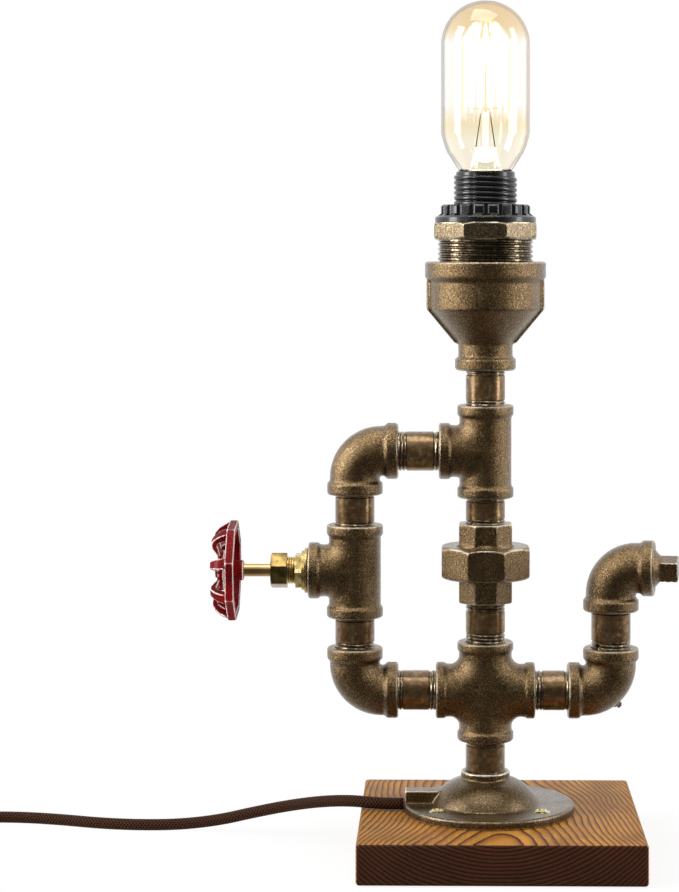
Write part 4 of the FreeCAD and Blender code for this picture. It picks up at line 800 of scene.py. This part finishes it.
def pipeNipple(node, lowShown, highShown):
    low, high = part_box(node)
    size = high - low
    length = max(size.x, size.z)
    outer, root = nipple["outer"] / 2, nipple["outer"] / 2 - nipple["depth"]
    bore, chamfer, runOut = nipple["bore"] / 2, nipple["chamfer"], nipple["runOut"]
    lowEnd = nipple["grip"] + lowShown
    highEnd = length - nipple["grip"] - highShown
    outline = [(bore, 0), (root - chamfer, 0), (root, chamfer), (root, lowEnd),
               (outer, lowEnd + runOut), (outer, highEnd - runOut), (root, highEnd),
               (root, length - chamfer), (root - chamfer, length), (bore, length)]
    piece = newObject(node + "_threaded", turnedMesh(node, outline, nipple["sides"]), pipePaint)
    pitch = nipple["pitch"]
    addThreads(piece, rubbedThread, pitch, root, nipple["depth"], [
        (start + pitch / 2, run - chamfer - pitch / 2)
        for start, run in ((chamfer, lowEnd), (highEnd, length - highEnd))])
    middle = (low + high) / 2
    if size.x > size.z:
        piece.data.transform(Matrix.Translation((low.x, middle.y, middle.z)) @ alongRight)
    else:
        piece.data.transform(Matrix.Translation((middle.x, middle.y, low.z)))
    handOver(piece, 32, "dark_pipe", node)


for node, (lowShown, highShown) in nipple["shown"].items():
    pipeNipple(node, lowShown, highShown)
print("nipples made")


# machined pieces: CAD shapes with broken edges

def edgedPiece(node, name, finish, width, slot, segments=2):
    piece = newObject(name, copyOfCad(node, 1.0), finish)
    edges = piece.modifiers.new("edges", "BEVEL")
    edges.width = width
    edges.segments = segments
    edges.limit_method = "ANGLE"
    edges.angle_limit = math.radians(30)
    settle(piece, finish)
    return handOver(piece, 40, slot, node)


# the packing nut's thread shows on the bonnet's neck
neck = {"radius": 0.00665, "depth": 0.0008, "pitch": 0.0013, "from": -0.1073, "to": -0.1027,
        "height": 0.1518}
bonnet = edgedPiece("valve_bonnet", "turnedBonnet", brightBrass, 0.00022, "brass")
addThreads(bonnet, brightBrass, neck["pitch"], neck["radius"], neck["depth"],
           [(0.0, neck["to"] - neck["from"])],
           Matrix.Translation((neck["to"], 0, neck["height"])) @ alongLeft)
smoothShade(bonnet.data, 40)
edgedPiece("packing_nut", "turnedPackingNut", brass, 0.0003, "brass")


# bushing with the thread in sight under its head

bushing = {"threadOuter": 0.052, "slack": 0.0002, "root": 0.0488, "low": 0.3192,
           "high": 0.331, "pitch": 0.0025, "depth": 0.0015, "hidden": 0.002}


def screwedBushing():
    mesh = copyOfCad("bushing")
    outer, root = bushing["threadOuter"] / 2, bushing["root"] / 2
    for corner in mesh.vertices:
        away = math.hypot(corner.co.x, corner.co.y)
        if abs(away - outer) < bushing["slack"]:
            corner.co.x *= root / away
            corner.co.y *= root / away
    piece = sandCast("castBushing", mesh, 91, paint=bushingPaint, **smoothMould)
    low, high, hidden = bushing["low"], bushing["high"], bushing["hidden"]
    addThreads(piece, threadPaint, bushing["pitch"], root, bushing["depth"],
               [(low - hidden, high - low + hidden)])
    handOver(piece, 40, "cast_bronze_paint", "bushing")


screwedBushing()


# wooden base

base = {"corner": 0.002, "round": 0.0016}


def woodenBase():
    low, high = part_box("wood_base")
    bm = bmesh.new()
    bmesh.ops.create_cube(bm, size=1)
    bmesh.ops.scale(bm, vec=high - low, verts=bm.verts)
    bmesh.ops.translate(bm, vec=(low + high) / 2, verts=bm.verts)
    upright = [edge for edge in bm.edges
               if abs(edge.verts[0].co.z - edge.verts[1].co.z) > (high.z - low.z) / 2]
    bevel = partial(bmesh.ops.bevel, bm, affect="EDGES", profile=0.5)
    bevel(geom=upright, offset=base["corner"], segments=2)
    rims = [edge for edge in bm.edges if edge.calc_face_angle(0) > math.radians(60)]
    bevel(geom=rims, offset=base["round"], segments=3)
    mesh = finishMesh("oiledBase", bm)
    piece = newObject("oiledPineBase", mesh, pineTop)
    mesh.materials.append(pineEndGrainAndShade)
    # front and back take the end-grain finish, darker by end grain and by painted shade
    for face in mesh.polygons:
        face.material_index = 1 if abs(face.normal.y) > 0.6 else 0
    handOver(piece, 25, "wood", "wood_base")


woodenBase()


# wood screws in the flange

screw = {"head": 0.0096, "crown": 0.0014, "swell": 2.4, "skirt": 0.0012, "taper": 0.9,
         "slotWide": 0.0017, "slotLong": 0.0062, "slotDeep": 0.0014, "flank": 0.00025,
         "runUp": 0.0006, "sides": 64, "rows": 22, "seed": 5, "turned": 1.5}


def islandCentres(mesh):
    # the middle of each loose part of a welded mesh
    bm = bmesh.new()
    bm.from_mesh(mesh)
    left, centres = set(bm.verts), []
    while left:
        island, edge = set(), {next(iter(left))}
        while edge:
            island |= edge
            edge = {link.other_vert(corner) for corner in edge
                    for link in corner.link_edges} - island
        left -= island
        xs = [corner.co.x for corner in island]
        ys = [corner.co.y for corner in island]
        centres.append(((min(xs) + max(xs)) / 2, (min(ys) + max(ys)) / 2))
    bm.free()
    return sorted(centres)


def screwHead():
    # a round head with a cross recess
    bm = bmesh.new()
    sides, rows, reach = screw["sides"], screw["rows"], screw["head"] / 2
    rings = [ringCorners(bm, reach * row / rows, 0, sides) for row in range(rows + 1)]
    under = [ringCorners(bm, radius, -screw["skirt"], sides)
             for radius in (reach * screw["taper"], 0)]
    shell = rings + under
    bridgeRings(bm, zip(shell, shell[1:]), sides)
    for corner in [corner for ring in rings for corner in ring]:
        x, y = corner.co.x, corner.co.y
        share = min(1, math.hypot(x, y) / reach)
        arm = min(abs(x), abs(y)) - screw["slotWide"] / 2
        tip = max(abs(x), abs(y)) - screw["slotLong"] / 2
        inside = (max(0, min(1, 0.5 - arm / screw["flank"]))
                  * max(0, min(1, 0.5 - tip / screw["runUp"])))
        corner.co.z = screw["crown"] * (1 - share ** screw["swell"]) - screw["slotDeep"] * inside
    return newObject("screwHead", finishMesh("screwHead", bm), zincScrew)


def flangeScrews():
    # a tree sets a head down at each screw
    tree, add, given = newTree("headsOnPoints", Head="Object", Seed=screw["seed"])
    info = add("GeometryNodeObjectInfo", {"Object": given["Head"]})
    turn = add("FunctionNodeRandomValue", {
        "Max": (0, 0, screw["turned"]), "Seed": given["Seed"]}, data_type="FLOAT_VECTOR")
    heads = add("GeometryNodeInstanceOnPoints", {
        "Points": given["Geometry"], "Instance": info.outputs["Geometry"], "Rotation": turn})
    endTree(tree, heads, given)

    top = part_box("flange_screws")[1].z
    points = bpy.data.meshes.new("screwPlaces")
    points.from_pydata([(x, y, top - screw["crown"])
                        for x, y in islandCentres(copyOfCad("flange_screws"))], [], [])
    piece, head = newObject("crossHeadScrews", points), screwHead()
    runTree(piece, tree, Head=head, Seed=screw["seed"], Material=zincScrew)
    settle(piece, zincScrew)
    bpy.data.objects.remove(head)
    handOver(piece, 50, "zinc_screw", "flange_screws")


flangeScrews()
print("base, screws and bushing made")


# lamp holder: black body with a threaded skirt

holder = {
    "top": 0.368, "lip": (0.0007, 0.0008), "skirtFoot": 0.3366,
    "crest": 0.0343, "root": 0.0319, "bore": 0.0296, "sides": 128,
    "pitch": 0.00276, "threadFoot": 0.33848, "turns": 9.8, "threadSides": 14,
    # radius and height: the chamber inside, down to the foot, and the body's outside
    "chamber": [(0.0125, 0.3365), (0.003, 0.3365), (0.003, 0.3045), (0.0145, 0.3045),
                (0.015, 0.3036)],
    "outside": [(0.015, 0.3096), (0.0155, 0.310), (0.0198, 0.3115), (0.02, 0.313),
                (0.02, 0.3335), (0.0195, 0.334), (0.0165, 0.3355)],
    "chamberTop": 0.338,
}


def lampHolder():
    # the body is turned, and its skirt has a bold round thread
    root, bore = holder["root"] / 2, holder["bore"] / 2
    top, (across, down) = holder["top"], holder["lip"]
    outline = [
        (root, holder["skirtFoot"]), (root, top - down), (root - across, top),
        (bore, top), (bore, holder["chamberTop"]), *holder["chamber"], *holder["outside"]]
    piece = newObject("mouldedLampHolder", turnedMesh(
        "mouldedLampHolder", outline, holder["sides"]), phenolic)
    runTree(piece, threadRidge, Turns=holder["turns"], Pitch=holder["pitch"], Radius=root,
            Depth=holder["crest"] / 2 - root, Start=holder["threadFoot"],
            Sides=holder["threadSides"], Material=phenolic)
    settle(piece, phenolic)
    handOver(piece, 40, "black_bakelite", "lampholder_body")


lampHolder()


# bulb

bulb = {"strands": 28, "cage": 0.0122, "low": 0.4012, "high": 0.4475, "wire": 0.00085,
        "crown": 0.5, "leansFrom": 0.8, "steps": 18}


def filamentTree():
    # one long wire that runs up and down round a cage, and leans inwards to a crown on top
    tree, add, given = newTree("filamentCage", Strands=18, Radius=0.012, Low=0.4, High=0.44,
                               Wire=0.0006, Crown=0.5)
    total = add("Math", [given["Strands"], bulb["steps"]], "MULTIPLY")
    line = add("GeometryNodeCurvePrimitiveLine")
    points = add("GeometryNodeResampleCurve", {0: line, "Count": total})
    along = add("Math", [add("GeometryNodeInputIndex"), bulb["steps"]], "DIVIDE")
    wave = add("Math", [along, 1.0], "PINGPONG")
    lap = add("Math", [along, given["Strands"]], "DIVIDE")
    turn = add("Math", [lap, 2 * math.pi], "MULTIPLY")
    swell = add("MapRange", {
        "Value": wave, "From Min": bulb["leansFrom"], "From Max": 1.0, "To Min": 1.0,
        "To Max": given["Crown"]})
    radius = add("Math", [swell, given["Radius"]], "MULTIPLY")
    across = [add("Math", [add("Math", [turn], share), radius], "MULTIPLY")
              for share in ("COSINE", "SINE")]
    level = add("MapRange", {"Value": wave, "To Min": given["Low"], "To Max": given["High"]})
    place = add("CombineXYZ", [*across, level])
    cage = add("GeometryNodeSetPosition", {0: points, "Position": place})
    section = add("GeometryNodeCurvePrimitiveCircle", {
        "Resolution": 8, "Radius": given["Wire"]})
    wire = add("GeometryNodeCurveToMesh", {0: cage, 1: section, "Fill Caps": True})
    return endTree(tree, wire, given)


handOver(newObject("blownBulb", copyOfCad("bulb_glass"), bulbGlass), 50, "amber_glass",
         "bulb_glass", body="bulb")
filament = newObject("filamentCage", bpy.data.meshes.new("filamentCage"))
runTree(filament, filamentTree(), Strands=bulb["strands"], Radius=bulb["cage"],
        Low=bulb["low"], High=bulb["high"], Wire=bulb["wire"], Crown=bulb["crown"],
        Material=filamentGlow)
settle(filament, filamentGlow)
handOver(filament, None, "filament", "bulb_filament", body="bulb")
print("lamp holder and bulb made")


# handwheel: die cast, finer than the fittings

dieMould = {"voxel": 0.00038, "softening": 6, "seam": 0.0, "depth": 0.00003, "paint": enamel}
handOver(sandCast("enamelledHandwheel", copyOfCad("handwheel"), 40, **dieMould), None,
         "red_enamel", "handwheel", body="wheel")
print("handwheel made")


# cord and plug

cord = {"diameter": 0.0063, "length": 1.8, "sides": 24, "step": 0.0022}
cordPoints = [
    (-0.0445, -0.001, 0.02545), (-0.057, -0.001, 0.02545), (-0.073, 0.0035, 0.02605),
    (-0.090, 0.015, 0.0228), (-0.108, 0.0275, 0.0176), (-0.128, 0.035, 0.012),
    (-0.148, 0.0403, 0.0062), (-0.170, 0.0423, 0.00315), (-0.192, 0.0406, 0.00315),
    (-0.215, 0.044, 0.00315), (-0.238, 0.052, 0.00315), (-0.260, 0.0572, 0.00315),
    (-0.279, 0.0579, 0.00315), (-0.296, 0.0572, 0.00315),
]
coil = {"x": -0.321, "y": 0.011, "outer": 0.0474, "turnStep": 0.0066, "low": 0.00315,
        "high": 0.00945, "perTurn": 12, "inwards": 35, "climb": 5, "steps": 73}
tailPoints = [
    (-0.3545, 0.052, 0.0096), (-0.368, 0.045, 0.0078), (-0.3794, 0.0335, 0.006),
    (-0.3868, 0.019, 0.0064), (-0.3899, 0.0035, 0.009), (-0.3899, -0.012, 0.009),
]
relief = {"ribs": 6, "neck": 0.0037, "wide": 0.0055, "sides": 48,
          # one rib: how far in, and how far from its start and from its end
          "rise": [(0.0007, 0.0006), (0.0003, 0.0011), (0, 0.0016)],
          "fall": [(0, 0.0006), (0.0005, 0.0001)]}


def coilPoints():
    # inwards on the table, a short climb, then outwards on top
    points = []
    inwards, climb, perTurn = coil["inwards"], coil["climb"], coil["perTurn"]
    for step in range(coil["steps"]):
        turn = math.radians(90 + 360 / perTurn * step)
        radius = (coil["outer"] - coil["turnStep"] * min(step, inwards) / perTurn
                  + coil["turnStep"] * max(step - inwards - climb, 0) / perTurn)
        climbed = max(0, min(step - inwards, climb)) / climb
        points.append((coil["x"] + radius * math.cos(turn), coil["y"] + radius * math.sin(turn),
                       coil["low"] + (coil["high"] - coil["low"]) * climbed))
    return points


def splineLine(points):
    # the smooth line of a NURBS spline through the route's control points
    curve = bpy.data.curves.new("cordLine", "CURVE")
    curve.dimensions = "3D"
    curve.resolution_u = 12
    spline = curve.splines.new("NURBS")
    spline.points.add(len(points) - 1)
    for point, place in zip(spline.points, points):
        point.co = (*place, 1)
    spline.order_u = 3
    spline.use_endpoint_u = True
    carrier = newObject("cordLine", curve)
    line = evaluatedMesh(carrier)
    places = [corner.co.copy() for corner in line.vertices]
    bpy.data.objects.remove(carrier)
    bpy.data.meshes.remove(line)
    return places


def tubeAlong(name, places, radius, sides):
    # a round tube with a UV map of metres along it and turns round it
    bm = bmesh.new()
    layer = bm.loops.layers.uv.new("along")
    rings, lengths = [], [0]
    normal = Vector((0, 0, 1))
    for at, place in enumerate(places):
        ahead = (places[min(at + 1, len(places) - 1)] - places[max(at - 1, 0)]).normalized()
        normal = (normal - ahead * normal.dot(ahead)).normalized()
        across = ahead.cross(normal)
        rings.append([bm.verts.new(place + (normal * math.cos(turn) + across * math.sin(turn))
                                   * radius) for turn in turnsOf(sides)])
        if at:
            lengths.append(lengths[-1] + (place - places[at - 1]).length)
    for at, (first, second) in enumerate(zip(rings, rings[1:])):
        for side in range(sides):
            after = (side + 1) % sides
            face = bm.faces.new((first[side], first[after], second[after], second[side]))
            corners = [(lengths[at], side), (lengths[at], side + 1),
                       (lengths[at + 1], side + 1), (lengths[at + 1], side)]
            for loop, (u, v) in zip(face.loops, corners):
                loop[layer].uv = (u, v / sides)
    for at in (0, -1):
        for loop in bm.faces.new(rings[at]).loops:
            loop[layer].uv = (lengths[at], 0)
    bmesh.ops.recalc_face_normals(bm, faces=bm.faces)
    return meshOf(name, bm)


def strainRelief():
    # a ribbed sleeve that widens from the cord to the plug
    low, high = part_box("plug_relief")
    centre, long = (low + high) / 2, high.y - low.y
    ribs, narrow = relief["ribs"], relief["neck"]
    outline = [(0, 0), (narrow, 0)]
    for rib in range(ribs):
        start, end = long * rib / ribs, long * rib / ribs + long / ribs
        wide = narrow + (relief["wide"] - narrow) * (rib + 1) / ribs
        outline += [(wide - inwards, start + along) for inwards, along in relief["rise"]]
        outline += [(wide - inwards, end - along) for inwards, along in relief["fall"]]
    outline += [(0, long)]
    turnBack = Matrix.Rotation(math.pi / 2, 4, "X")
    piece = newObject("ribbedStrainRelief", turnedMesh(
        "ribbedStrainRelief", outline, relief["sides"],
        Matrix.Translation((centre.x, high.y, centre.z)) @ turnBack), plugPlastic)
    return handOver(piece, 35, "black_plug", "plug_relief")


def mainsPlug():
    return [edgedPiece("plug_body", "mouldedPlugBody", plugPlastic, 0.003, "black_plug",
                       segments=4),
            edgedPiece("plug_blades", "plugBlades", nickel, 0.0004, "sheet_brass"),
            strainRelief()]


def mainsCord():
    line = splineLine(cordPoints + coilPoints() + tailPoints)
    places = [line[0]]
    for place in line[1:]:
        if (place - places[-1]).length > cord["step"] * 0.8:
            places.append(place)
    places[-1] = line[-1]
    mesh = tubeAlong("braidedCord", places, cord["diameter"] / 2, cord["sides"])
    piece = newObject("braidedCord", mesh, braid)
    handOver(piece, None, "brown_braid", "cord_tube", "cord_tail", "cord_coil")
    length = sum((second - first).length for first, second in zip(places, places[1:]))
    print("cord length", round(length, 4))
    mainsPlug()


mainsCord()
print("cord and plug made")
